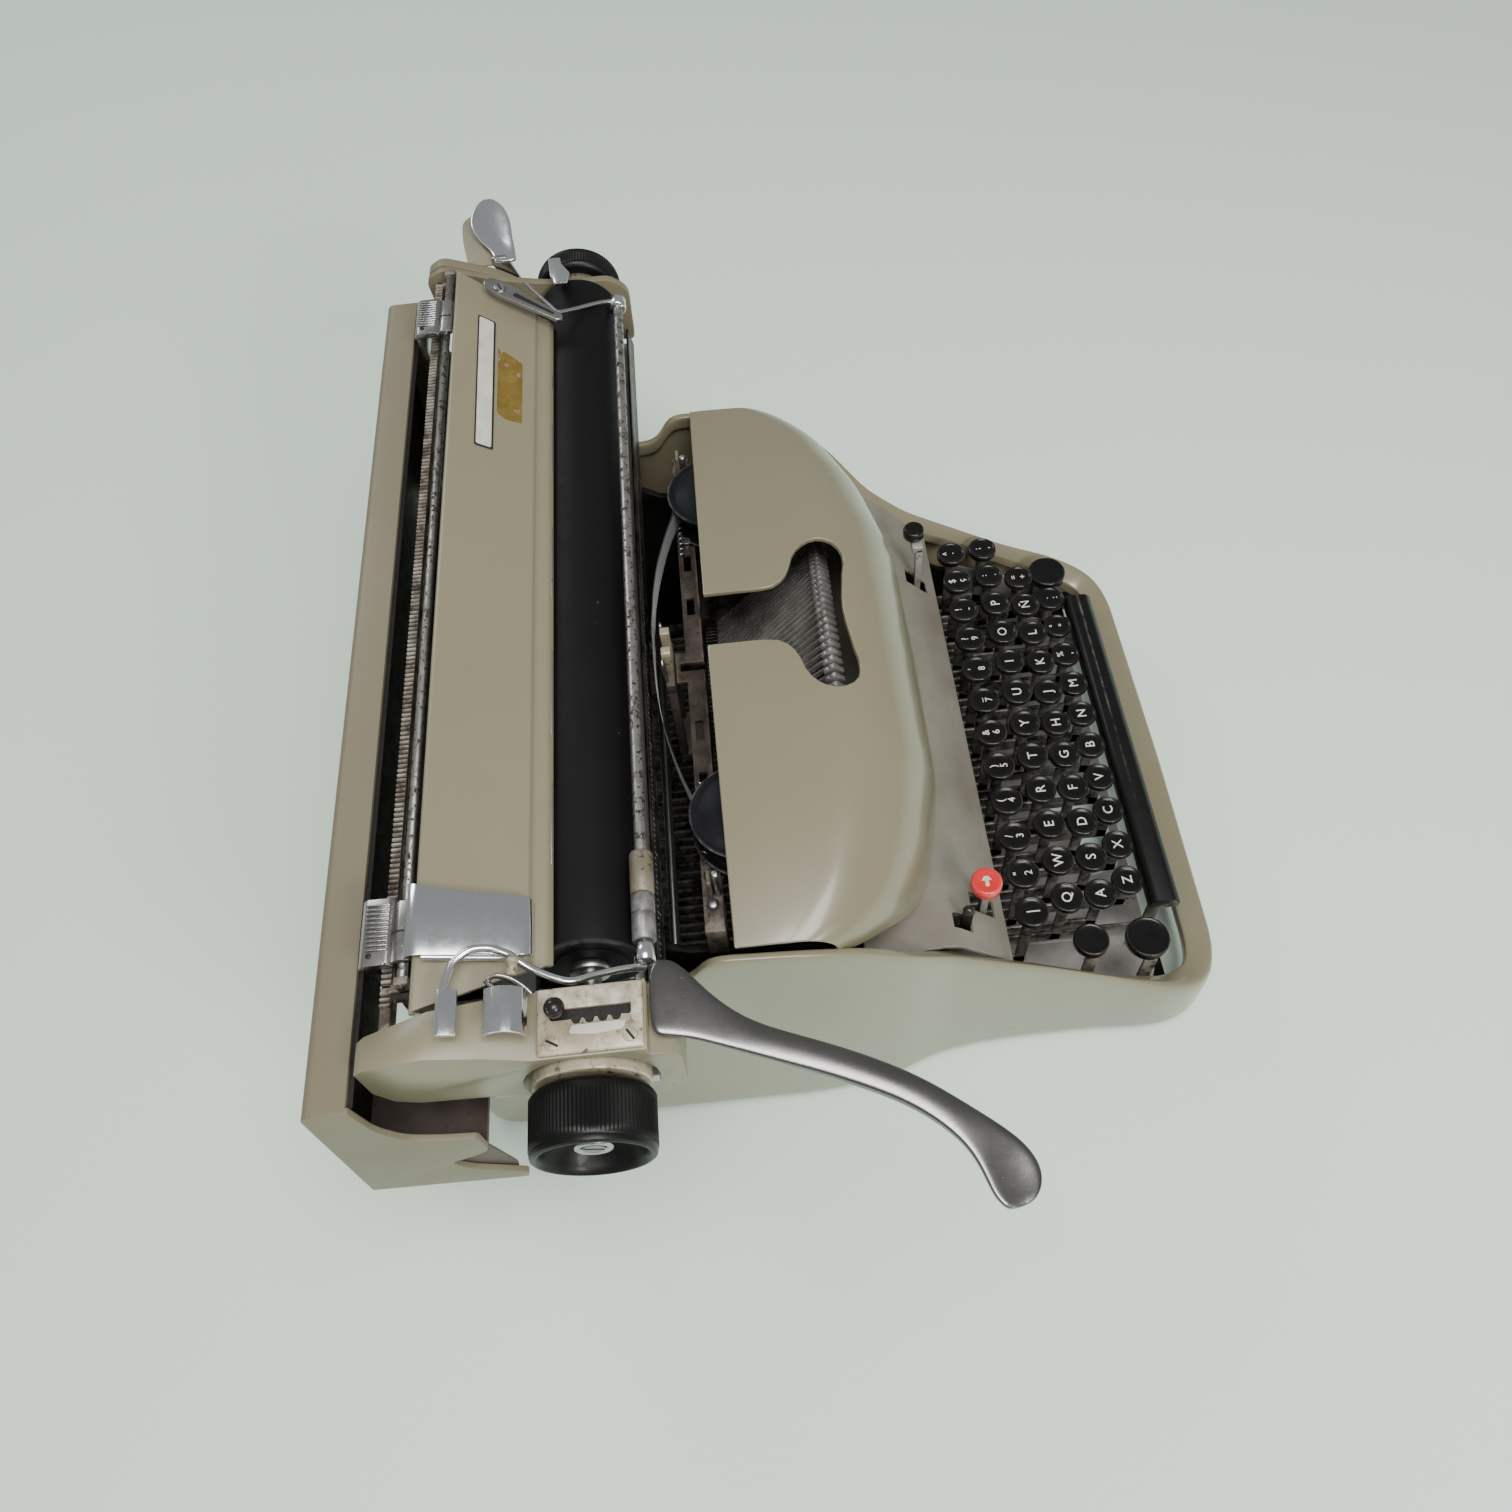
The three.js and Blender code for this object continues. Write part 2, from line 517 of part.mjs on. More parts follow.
// The arms pass outside the last key levers.
const SHIFT = { x: 109.5, y: -157, top: 66, radius: 10, arm: 118.4, half: 0.8, pivotY: 66, pivotZ: 22 };
add("shift_keys", join(
  ...[-1, 1].flatMap((side) => {
    const x0 = side * SHIFT.arm - SHIFT.half;
    const x1 = side * SHIFT.arm + SHIFT.half;
    return [alongZ(SHIFT.radius, SHIFT.top - 6, SHIFT.top, side * SHIFT.x, SHIFT.y, 16),
      box(x0, x1, SHIFT.y, SHIFT.pivotY, 20, 30),
      box(x0, x1, SHIFT.y - 3, SHIFT.y + 3, 22, SHIFT.top - 5)];
  }),
  alongX(3, -SHIFT.arm, SHIFT.arm, SHIFT.pivotY, SHIFT.pivotZ, 10),
), BLACK_PLASTIC);

const LOCK = { x: -112, y: -129, top: 76, radius: 8, pivotY: -70 };
add("shift_lock_key", join(
  alongZ(LOCK.radius, LOCK.top - 5.5, LOCK.top, LOCK.x, LOCK.y, 14),
  box(-118.6, -117.2, LOCK.y - 3, LOCK.y + 3, 46, LOCK.top - 4.5),
  box(-118.6, LOCK.x, LOCK.y - 3, LOCK.y + 3, LOCK.top - 7, LOCK.top - 4.5),
  box(-118.6, -117.2, LOCK.y - 3, LOCK.pivotY, 46, 52),
), BLACK_PLASTIC);

// Control keys on the sloping panel: each slides down through its slot.
function controlKey(x, stemX, radius, material, name) {
  const cap = alongZ(radius, 126, 132, x, -78, 16);
  const stem = box(stemX - 2, stemX + 2, -82, -78, 84, 124);
  const neck = box(Math.min(stemX, x) - 2, Math.max(stemX, x) + 2, -82, -76, 122, 127);
  add(name, join(cap, stem, neck), material);
}
controlKey(-105, -100.5, 6.6, RED_PLASTIC, "tabulator_key");
controlKey(91.5, 85.5, 5.2, BLACK_PLASTIC, "backspace_key");
add("ribbon_selector_lever", join(box(-113.4, -112, -74, -60, 92, 97), box(-113.4, -112, -72, -66, 92, 121),
  alongX(2.6, -114.6, -110.8, -70, 121, 10)), DARK_STEEL);

// ---------------------------------------------------------------- carriage
const bedOutline = outlineShape([[-184, 55.5], [211.5, 55.5], [211.5, 118], [-184, 118]]);
bedOutline.holes.push(new THREE.Path([[-160, 60], [-160, 102], [202, 102], [202, 60]]
  .map(([x, y]) => new THREE.Vector2(x, y))));
add("carriage_bed", extrude(bedOutline, BED.top - BED.bottom).translate(0, 0, BED.bottom), STEEL);

// Left end casing with a round recess behind the knob; the plate and the lever hub sit on its top.
const CASING = { outer: -191.5, inner: -163, top: 215.1 };
// Its lower front corner is notched to pass over the ribbon.
const casingSide = [[52, 172], [111, 184], [137, 186], [145, 190], [149.5, 200], [149.5, 219], [146, 222],
  [125, 226], [108, 221.5], [93, CASING.top], [55.5, CASING.top], [55.2, 209.4], [48, 209.4], [45.5, 205],
  [46, 180], [52, 178.5]];
add("left_end_casing", cut(
  sidePlate(casingSide, CASING.outer, CASING.inner),
  alongX(23.2, CASING.outer - 1, -174, PLATEN.y, PLATEN.z, 24),
  box(CASING.outer - 1, -174, PLATEN.y - 22, PLATEN.y + 22, 160, PLATEN.z),
  alongX(8, -175, CASING.inner + 1, PLATEN.y, PLATEN.z, 12),
  planPlate([[-162, 151], [-181, 151], [-168, 92], [-162, 92]], 160, 240),
  planPlate([[-167.5, 57], [-167.5, 92.1], [-162, 92.1], [-162, 44]], 160, 240),
), ENAMEL);

add("right_end_frame", join(
  cut(sidePlate([[52, 168], [112, 170], [119, 176], [133, 178], [142, 183], [147, 192], [149, 216], [140, 221],
    [112, 211], [88, 206], [60, 205], [51, 198]], 212, 216), alongX(8, 211, 217, PLATEN.y, PLATEN.z, 12)),
  sidePlate([[98, 200], [146, 205], [148.5, 217], [140, 222], [114, 212]], 215.5, 221),
), IVORY);

// Paper table: a sloping plate with a stepped lower lip and slanted ends.
function paperTable() {
  const section = [[91, 208.6], [95, 212.2], [130.5, 224], [129.6, 226.2], [93, 214.8], [88.8, 210]];
  const plate = sidePlate(section, -178, 204);
  const slantLeft = planPlate([[-190, 80], [-154, 80], [-176, 133], [-190, 133]], 190, 240);
  const slantRight = planPlate([[230, 80], [230, 133], [204, 133], [171, 80]], 190, 240);
  return cut(plate, slantLeft, slantRight);
}
add("paper_table", paperTable(), ENAMEL);

add("margin_rack", join(box(-176, 211.5, 140.5, 144, 208, 216), box(-163, -160, 133, 144, 206, 216),
  box(207, 210, 133, 144, 206, 216), box(-163, -160, 133, 137, 214, 222), box(207, 210, 133, 137, 214, 222),
  alongX(1.8, -164, 211, 135.5, 220, 8)), RUSTY_STEEL);
add("front_scale_rail", join(sidePlate([[53, 168], [54.2, 168], [55.8, 177.5], [54.6, 178]], -158, 208),
  box(-158, 208, 53, 55.2, 167, 169)), STEEL);

// ---------------------------------------------------------------- platen
const shaftRadius = 4;
add("platen_roller", join(
  alongX(PLATEN.radius, PLATEN.left, PLATEN.right, PLATEN.y, PLATEN.z, 32),
  alongX(shaftRadius, KNOB.leftInner - 6, KNOB.rightInner + 6, PLATEN.y, PLATEN.z, 12),
), BLACK_RUBBER);

function knob(inner, outward, width) {
  const { radius } = KNOB;
  const bore = shaftRadius + GAP;
  const profile = [[bore, 0], [radius - 3, 0], [radius, 2], [radius, width - 1.5], [radius - 1.5, width],
    [radius - 3.5, width], [radius - 6, width - 8], [7, width - 10], [6, width - 4], [0, width - 4], [0, 8],
    [bore, 8], [bore, 0]];
  return revolve(profile, 20).rotateY((outward * Math.PI) / 2).translate(inner, PLATEN.y, PLATEN.z);
}
add("left_platen_knob", knob(KNOB.leftInner, -1, KNOB.leftWidth), BLACK_PLASTIC);
add("right_platen_knob", knob(KNOB.rightInner, 1, KNOB.rightWidth), BLACK_PLASTIC);

const RATCHET = { teeth: 30, outer: 22.6, root: 21.2, left: -181, right: -177.5 };
function ratchet() {
  const outline = ring(RATCHET.teeth * 2, (i) => (i % 2 ? RATCHET.outer : RATCHET.root));
  const wheel = extrude(outlineShape(outline), RATCHET.right - RATCHET.left)
    .rotateY(Math.PI / 2).translate(RATCHET.left, PLATEN.y, PLATEN.z);
  const rim = alongX(20.4, -194.5, RATCHET.left + 0.1, PLATEN.y, PLATEN.z, 28);
  return cut(join(wheel, rim), alongX(shaftRadius + GAP, -200, -170, PLATEN.y, PLATEN.z, 12));
}
add("line_space_ratchet", ratchet(), IVORY);

const FEED = { radius: 5, gap: 0.4, tilt: Math.PI / 6 };
const feedReach = PLATEN.radius + FEED.radius + FEED.gap;
const feedDrop = feedReach * Math.cos(FEED.tilt);
const feedSide = feedReach * Math.sin(FEED.tilt);
for (const [name, side] of [["front_feed_roller", -1], ["rear_feed_roller", 1]]) {
  const y = PLATEN.y + side * feedSide;
  add(name, alongX(FEED.radius, -130, 190, y, PLATEN.z - feedDrop, 12), BLACK_RUBBER);
}

// ---------------------------------------------------------------- carriage controls
const BAIL = { y: 56.3, z: 203.6, radius: 2.4, pivotY: 112, pivotZ: 229, left: -157, right: 194 };
add("paper_bail", join(
  alongX(BAIL.radius, BAIL.left, BAIL.right, BAIL.y, BAIL.z, 10),
  alongX(4.2, BAIL.left, BAIL.left + 8, BAIL.y, BAIL.z, 12),
  bar([[BAIL.left + 1, BAIL.y, BAIL.z], [-158, 74, 219], [-159, 96, 227], [-160, BAIL.pivotY, BAIL.pivotZ]],
    1.3, 1.3, 6, 8),
  alongX(1.4, -184, -159, BAIL.pivotY, BAIL.pivotZ, 8),
  box(-186, -175.5, BAIL.pivotY - 3.5, BAIL.pivotY + 3.5, BAIL.pivotZ - 1, BAIL.pivotZ + 1.6),
  alongX(3.6, 190, BAIL.right + 4, BAIL.y, BAIL.z, 10),
  bar([[BAIL.right + 3, BAIL.y, BAIL.z], [197.5, 74, 219], [198, 86, 223]], 1.2, 1.2, 6, 6),
  sidePlate([[82, 221], [87, 218.5], [114, 225.5], [117, 229], [112, 233.5], [106, 232]], 196.5, 199.5),
), CHROME);
add("bail_sleeve", revolve([[BAIL.radius + GAP, 0], [4.4, 0], [4.4, 24], [BAIL.radius + GAP, 24],
  [BAIL.radius + GAP, 0]], 16).rotateY(Math.PI / 2).translate(BAIL.left + 8.4, BAIL.y, BAIL.z), STEEL);

add("line_space_plate", cut(box(-190.5, -168.5, 56.5, 90.5, 215.4, 217),
  box(-179.5, -175.5, 60, 87, 215, 218)), IVORY);
add("line_space_selector", join(revolve([[0, -3.4], [2.2, -2.8], [3.5, 0], [2.4, 2.6], [0, 3.4]], 12)
  .translate(-177.5, 84, 223.5), alongZ(1.2, 217.4, 221, -177.5, 84, 8)), BLACK_PLASTIC);

// Return lever: flat hub, then an arm that tapers, bends out and ends in a spoon.
const leverPlan = [
  [-160, 54.5], [-159.5, 47], [-166, 40], [-176, 33], [-184, 20], [-192, -3], [-203, -28], [-213, -43],
  [-219, -50], [-228, -62], [-238, -66.5], [-246, -62], [-249, -54], [-244, -48.5], [-232, -46],
  [-222, -37], [-212, -22], [-203, -1], [-195, 22], [-188, 42], [-186, 54.5],
];
const LEVER_FALL = 0.165;
const leverShear = new THREE.Matrix4().set(
  1, 0, 0, 0, 0, 1, 0, 0, 0, LEVER_FALL, 1, -LEVER_FALL * 54.5, 0, 0, 0, 1);
add("carriage_return_lever", planPlate(leverPlan, 211.6, 214.8).applyMatrix4(leverShear), CHROME);

add("paper_side_guide", sidePlate([[92.4, 216.2], [93, 218.4], [126, 229.6], [132.5, 228.5], [132.5, 226.9],
  [126.4, 227.8], [94.2, 216.9], [94, 215.7]], -157, -131.5), CHROME);
for (const [name, x] of [["left_margin_stop", -157], ["right_margin_stop", 160]]) {
  add(name, join(box(x, x + 24.5, 137.8, 149.5, 222.4, 225.4), box(x + 2, x + 22.5, 146.4, 149, 209, 223),
    box(x, x + 24.5, 131.6, 139, 222.6, 224.6)), CHROME);
}

add("pressure_lever", join(box(-186, -171, 94.5, 101.5, 225.6, 228), alongX(3.4, -186, -171, 98, 226.8, 10),
  sidePlate([[96, 225], [100, 225], [104, 206], [100, 205]], -165.6, -163.8),
  box(-172, -163.8, 96, 100, 225, 228)), CHROME);

add("paper_release_lever", join(
  sidePlate([[104, 200], [110, 200], [117, 217], [109, 217]], 222, 224.4),
  planPlate([[222, 105], [229, 104.5], [238, 106], [247, 106.4], [256, 109], [261, 114], [261.5, 119],
    [257, 125], [247, 127.2], [238, 124], [230, 118], [222, 117]], 215, 217.6),
  planPlate([[222, 112], [262, 113], [267, 119], [266.5, 126], [260, 133.7], [245, 133], [222, 129]], 213, 215.1),
), CHROME);
add("carriage_release_tab", join(
  planPlate([[196, 78.5], [206, 77.5], [214, 82], [218.6, 82], [218.6, 88.5], [206, 87.5], [195.5, 85]],
    214.4, 216.6),
  box(217, 218.6, 80, 87, 200, 215)), CHROME);

// ---------------------------------------------------------------- carriage drive and bell
add("mainspring_drum", revolve([[0, 0], [26, 0], [26, 3], [24, 4], [24, 17], [26, 18], [26, 21], [0, 21]], 28)
  .rotateX(Math.PI / 2).translate(-84, 142, 114), DARK_STEEL);
const ESCAPEMENT = { teeth: 24, x: 14, z: 128 };
add("escapement_wheel", join(
  frontPlate(ring(ESCAPEMENT.teeth * 2, (i) => (i % 2 ? 15 : 12.6)), 138, 140.4),
  alongY(5, 136, 145.4, 0, 0, 12)).translate(ESCAPEMENT.x, 0, ESCAPEMENT.z), STEEL);
add("bell", join(revolve([[0, 10.4], [9.6, 9.4], [17, 5], [20.6, 0], [22, 0], [18, 6], [10, 11], [0, 12]], 24)
  .rotateX(Math.PI / 2), alongY(2.5, -12 + 0.5, 2, 0, 0, 10)).translate(78, 143.4, 92), STEEL);

export default machine;
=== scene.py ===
import math

import bmesh
import bpy
from mathutils import Matrix, Vector
from mathutils.geometry import delaunay_2d_cdt


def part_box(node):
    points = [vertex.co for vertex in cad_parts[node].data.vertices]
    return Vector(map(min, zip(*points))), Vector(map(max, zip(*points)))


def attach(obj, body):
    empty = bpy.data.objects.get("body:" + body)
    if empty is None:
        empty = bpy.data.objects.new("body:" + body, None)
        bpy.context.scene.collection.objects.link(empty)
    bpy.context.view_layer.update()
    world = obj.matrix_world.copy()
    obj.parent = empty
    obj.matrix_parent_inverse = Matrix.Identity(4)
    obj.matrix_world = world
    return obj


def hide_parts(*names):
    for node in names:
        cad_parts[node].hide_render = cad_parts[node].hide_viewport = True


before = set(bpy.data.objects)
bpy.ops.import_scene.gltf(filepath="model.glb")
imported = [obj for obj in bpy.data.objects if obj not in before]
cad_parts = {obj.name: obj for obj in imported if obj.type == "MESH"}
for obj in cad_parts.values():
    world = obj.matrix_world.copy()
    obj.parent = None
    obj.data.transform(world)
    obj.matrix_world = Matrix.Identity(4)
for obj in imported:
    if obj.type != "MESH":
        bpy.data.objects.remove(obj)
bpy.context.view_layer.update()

# ---------------------------------------------------------------- the frame's own measures
# Lengths below are millimetres on the machine: x from its centre plane to the typist's right, y to the back
# and z up from the desk. at() turns them into the frame's metres. The body's middle fixes x, the platen y.
MM = 1000
WELD_GAP = 0.00001
PLATEN_Y = 77.4
PLATEN_Z = 190.5
SHELL_LOW, SHELL_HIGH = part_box("body_shell")
ROLLER_LOW, ROLLER_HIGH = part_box("platen_roller")
SHIFT_X = (SHELL_LOW[0] + SHELL_HIGH[0]) / 2
SHIFT_Y = (ROLLER_LOW[1] + ROLLER_HIGH[1]) / 2 - PLATEN_Y / MM


def at(x, y, z):
    return Vector((x / MM + SHIFT_X, y / MM + SHIFT_Y, z / MM))


# ---------------------------------------------------------------- material nodes
class Nodes:
    """Short ways to add and link shader nodes in one material."""

    def __init__(self, name):
        self.material = bpy.data.materials.new(name)
        self.material.use_nodes = True
        self.tree = self.material.node_tree
        self.tree.nodes.clear()
        self.out = self.tree.nodes.new("ShaderNodeOutputMaterial")
        self.shader = self.tree.nodes.new("ShaderNodeBsdfPrincipled")
        self.link(self.shader.outputs[0], self.out.inputs["Surface"])
        self.where = self.tree.nodes.new("ShaderNodeTexCoord").outputs["Object"]

    def link(self, a, b):
        self.tree.links.new(a, b)

    def add(self, kind, **values):
        node = self.tree.nodes.new(kind)
        for key, value in values.items():
            setattr(node, key, value)
        return node

    def stretched(self, scale):
        """Object coordinates, scaled separately along each axis."""
        node = self.add("ShaderNodeMapping")
        node.inputs["Scale"].default_value = scale
        self.link(self.where, node.inputs["Vector"])
        return node.outputs[0]

    def noise(self, scale, detail=4, rough=0.55, where=None):
        node = self.add("ShaderNodeTexNoise")
        node.inputs["Scale"].default_value = scale
        node.inputs["Detail"].default_value = detail
        node.inputs["Roughness"].default_value = rough
        self.link(where or self.where, node.inputs["Vector"])
        return node.outputs["Fac"]

    def span(self, value, low, high, to_low=0.0, to_high=1.0):
        node = self.add("ShaderNodeMapRange", clamp=True)
        node.inputs["From Min"].default_value = low
        node.inputs["From Max"].default_value = high
        node.inputs["To Min"].default_value = to_low
        node.inputs["To Max"].default_value = to_high
        self.link(value, node.inputs["Value"])
        return node.outputs[0]

    def math(self, kind, a, b):
        node = self.add("ShaderNodeMath", operation=kind)
        for value, socket in ((a, node.inputs[0]), (b, node.inputs[1])):
            if isinstance(value, (int, float)):
                socket.default_value = value
            else:
                self.link(value, socket)
        return node.outputs[0]

    def mix(self, amount, a, b):
        node = self.add("ShaderNodeMix", data_type="RGBA")
        self.link(amount, node.inputs["Factor"])
        for value, socket in ((a, node.inputs[6]), (b, node.inputs[7])):
            if isinstance(value, tuple):
                socket.default_value = (*value, 1)
            else:
                self.link(value, socket)
        return node.outputs[2]

    def bump(self, height, strength, distance, onto=None):
        node = self.add("ShaderNodeBump")
        node.inputs["Strength"].default_value = strength
        node.inputs["Distance"].default_value = distance
        self.link(height, node.inputs["Height"])
        if onto:
            self.link(onto, node.inputs["Normal"])
        return node.outputs[0]

    def edges(self, low=0.52, high=0.6):
        """1 along worn outer edges."""
        return self.span(self.add("ShaderNodeNewGeometry").outputs["Pointiness"], low, high)

    def crevices(self, low=0.48, high=0.40):
        """1 in inner corners, where dirt gathers."""
        return self.span(self.add("ShaderNodeNewGeometry").outputs["Pointiness"], low, high)


def srgb(r, g, b):
    """The linear colour of an 8-bit one."""
    return tuple(((v / 255 + 0.055) / 1.055) ** 2.4 if v > 10 else v / 255 / 12.92 for v in (r, g, b))


def make(name, base, second, rough, metal=0.0, coat=0.0, coat_rough=0.1, blotch=14, grain=(900, 0.15, 0.0002),
         wear=None, wear_range=(0.53, 0.6), dirt=None, pits=None, pit_scale=260, pit_level=(0.66, 0.7),
         brush=None, sheen=0.0, mottle=0.5, specular=0.5):
    """One surface: two-tone mottling, uneven gloss, fine grain, worn edges, grime and pits."""
    n = Nodes(name)
    tone = n.span(n.noise(blotch, 6, 0.6), 0.5 - mottle * 0.4, 0.5 + mottle * 0.4)
    color = n.mix(tone, base, second)
    fine = n.noise(grain[0], 3, 0.6, n.stretched(brush) if brush else None)
    color = n.mix(n.span(fine, 0.35, 0.75, 0.0, 0.22), color, tuple(v * 0.72 for v in base))
    smudge = n.noise(blotch * 2.3, 8, 0.7)
    gloss = n.span(n.math("ADD", n.math("MULTIPLY", smudge, 0.7), n.math("MULTIPLY", fine, 0.3)), 0.3, 0.7,
                   rough[0], rough[1])
    height = n.bump(fine, grain[1], grain[2])
    if dirt:
        grime = n.math("MULTIPLY", n.crevices(), n.span(n.noise(60, 6, 0.7), 0.3, 0.6))
        color = n.mix(grime, color, dirt)
    if pits:
        pit = n.span(n.noise(pit_scale, 4, 0.75), *pit_level)
        color = n.mix(pit, color, pits)
        gloss = n.math("MAXIMUM", gloss, n.math("MULTIPLY", pit, 0.75))
        height = n.bump(n.math("SUBTRACT", 1.0, pit), 0.4, 0.0002, height)
    if wear:
        rub = n.math("MULTIPLY", n.edges(*wear_range), n.span(n.noise(120, 5, 0.7), 0.38, 0.62))
        color = n.mix(rub, color, wear)
    n.link(color, n.shader.inputs["Base Color"])
    n.link(gloss, n.shader.inputs["Roughness"])
    n.link(height, n.shader.inputs["Normal"])
    n.shader.inputs["Metallic"].default_value = metal
    n.shader.inputs["Coat Weight"].default_value = coat
    n.shader.inputs["Coat Roughness"].default_value = coat_rough
    n.shader.inputs["Sheen Weight"].default_value = sheen
    n.shader.inputs["Specular IOR Level"].default_value = specular
    return n.material


ENAMEL = make("enamel", srgb(122, 116, 93), srgb(127, 121, 98), (0.26, 0.36), coat=0.5, coat_rough=0.14,
              blotch=9, grain=(1600, 0.10, 0.0001), wear=srgb(205, 200, 180), dirt=srgb(86, 74, 56),
              pits=srgb(96, 84, 66), pit_scale=330, pit_level=(0.76, 0.79))
ENAMEL_DULL = make("enamel_dull", srgb(118, 111, 90), srgb(110, 103, 82), (0.42, 0.55), blotch=7,
                   grain=(1500, 0.14, 0.0001), dirt=srgb(70, 58, 44),
                   pits=srgb(74, 62, 48), pit_scale=280, pit_level=(0.76, 0.80))
ENAMEL_PANEL = make("enamel_panel", srgb(126, 122, 112), srgb(104, 97, 86), (0.38, 0.55), blotch=26,
                    grain=(1300, 0.16, 0.0001), wear=srgb(180, 174, 160), dirt=srgb(58, 48, 38),
                    pits=srgb(74, 62, 50), pit_scale=240, pit_level=(0.68, 0.73))
CHROME = make("chrome", (0.74, 0.75, 0.78), (0.82, 0.83, 0.86), (0.10, 0.24), metal=1.0, blotch=40,
              grain=(900, 0.05, 0.0001), pits=srgb(66, 54, 44), pit_scale=300, pit_level=(0.72, 0.76))
STEEL = make("steel", (0.42, 0.41, 0.40), (0.52, 0.51, 0.50), (0.28, 0.45), metal=1.0, blotch=34,
             grain=(700, 0.12, 0.0001), pits=srgb(74, 56, 42), pit_scale=210, pit_level=(0.62, 0.70))
BRUSHED = make("brushed_steel", (0.17, 0.165, 0.165), (0.23, 0.22, 0.22), (0.22, 0.34), metal=1.0, blotch=22,
               grain=(1.0, 0.10, 0.00005), brush=(2200, 160, 160), pits=srgb(100, 88, 76), pit_scale=400,
               pit_level=(0.70, 0.78))
DARK_STEEL = make("dark_steel", srgb(46, 42, 38), srgb(24, 22, 21), (0.34, 0.6), metal=0.75, blotch=60,
                  grain=(900, 0.2, 0.0002), wear=srgb(150, 146, 140), dirt=srgb(20, 15, 11))
RUSTY = make("rusty_steel", srgb(92, 83, 74), srgb(42, 36, 31), (0.5, 0.85), metal=0.45, blotch=110,
             grain=(800, 0.4, 0.0004), wear=srgb(170, 162, 150), pits=srgb(62, 44, 33), pit_scale=160,
             pit_level=(0.54, 0.66))
RUBBER = make("rubber", srgb(24, 24, 26), srgb(17, 17, 19), (0.55, 0.72), blotch=18,
              grain=(1100, 0.25, 0.0002),
              wear=srgb(90, 88, 86), pits=srgb(76, 72, 68), pit_scale=140, pit_level=(0.72, 0.78),
              specular=0.2)
BLACK = make("black_plastic", srgb(13, 12, 12), srgb(8, 7, 7), (0.18, 0.32), coat=0.12, coat_rough=0.08,
             blotch=70, grain=(1400, 0.06, 0.0001), dirt=srgb(60, 54, 47), wear=srgb(70, 66, 62),
             specular=0.3)
BLACK_SATIN = make("black_satin", srgb(15, 14, 14), srgb(9, 9, 9), (0.34, 0.5), coat=0.05, blotch=50,
                   grain=(1200, 0.12, 0.0001), dirt=srgb(60, 54, 46), wear=srgb(110, 106, 100),
                   wear_range=(0.55, 0.62), specular=0.25)
RED = make("red_plastic", srgb(214, 44, 44), srgb(196, 36, 38), (0.22, 0.36), coat=0.3, blotch=60,
           grain=(1400, 0.06, 0.0001), dirt=srgb(96, 30, 30), wear=srgb(232, 120, 116))
PLATEN_RUBBER = make("platen_rubber", srgb(11, 11, 13), srgb(7, 7, 9), (0.5, 0.68), blotch=16,
                     grain=(1100, 0.2, 0.0001),
                     brush=(0.25, 1, 1), wear=srgb(84, 82, 82), pits=srgb(70, 68, 68), pit_scale=170,
                     pit_level=(0.72, 0.77), specular=0.2)
IVORY = make("ivory_metal", srgb(186, 176, 150), srgb(140, 128, 104), (0.34, 0.55), metal=0.35, blotch=90,
             grain=(900, 0.2, 0.0002), wear=srgb(218, 212, 196), dirt=srgb(62, 50, 36),
             pits=srgb(84, 68, 50), pit_scale=190, pit_level=(0.56, 0.66))
MACHINED = make("machined_metal", srgb(176, 174, 170), srgb(138, 134, 128), (0.34, 0.55), metal=0.45,
                blotch=50,
                grain=(1.0, 0.12, 0.0001), brush=(160, 1800, 1800), pits=srgb(88, 74, 58), pit_scale=150,
                pit_level=(0.6, 0.7))
ENAMEL_TABLE = make("enamel_table", srgb(129, 123, 100), srgb(124, 118, 96), (0.34, 0.48), coat=0.25,
                    coat_rough=0.3, blotch=9, grain=(1500, 0.12, 0.0001), pits=srgb(98, 84, 66),
                    pit_scale=300,
                    pit_level=(0.76, 0.80))
BARE_BROWN = make("bare_brown", srgb(98, 88, 82), srgb(78, 68, 62), (0.5, 0.7), metal=0.2, blotch=40,
                  grain=(1100, 0.2, 0.0002), pits=srgb(60, 48, 40), pit_scale=200, pit_level=(0.62, 0.7))
# Type bars: a light grey lifted to make up for the shade under the cover (painted light), and near-white
# edges that are painted highlights for the glints along the bars.
BAR_STEEL_GLINTS = make("bar_grey_and_painted_glints", srgb(150, 147, 142), srgb(100, 97, 93), (0.22, 0.36), metal=0.35, blotch=90,
                 grain=(1200, 0.1, 0.0001), wear=srgb(206, 202, 196), wear_range=(0.53, 0.62))
SLUG_STEEL = make("slug_steel", srgb(214, 212, 208), srgb(150, 146, 142), (0.2, 0.4), metal=0.7, blotch=200,
                  grain=(1500, 0.2, 0.0001), dirt=srgb(22, 20, 19))
CHROME_DULL = make("chrome_dull", (0.36, 0.35, 0.34), (0.46, 0.45, 0.44), (0.2, 0.36), metal=1.0, blotch=60,
                   grain=(900, 0.1, 0.0001), pits=srgb(72, 58, 46), pit_scale=220, pit_level=(0.64, 0.71))
BAIL_METAL = make("bail_metal", srgb(172, 170, 166), srgb(130, 127, 122), (0.25, 0.5), metal=0.9, blotch=150,
                  grain=(900, 0.15, 0.0001), pits=srgb(66, 58, 50), pit_scale=420, pit_level=(0.52, 0.60))
SLEEVE_GREY = make("sleeve_grey", srgb(92, 90, 90), srgb(74, 72, 72), (0.4, 0.6), metal=0.35, blotch=80,
                   grain=(900, 0.15, 0.0001), wear=srgb(170, 168, 164), pits=srgb(84, 80, 76), pit_scale=240,
                   pit_level=(0.66, 0.72))
WORN_SLEEVE = make("worn_sleeve", srgb(128, 120, 104), srgb(104, 96, 82), (0.4, 0.6), metal=0.3, blotch=120,
                   grain=(900, 0.25, 0.0002), pits=srgb(70, 58, 46), pit_scale=260, pit_level=(0.56, 0.64))
CLOTH = make("ribbon_cloth", srgb(20, 20, 23), srgb(10, 10, 12), (0.75, 0.95), blotch=120,
             grain=(2600, 0.5, 0.0002), sheen=0.3)
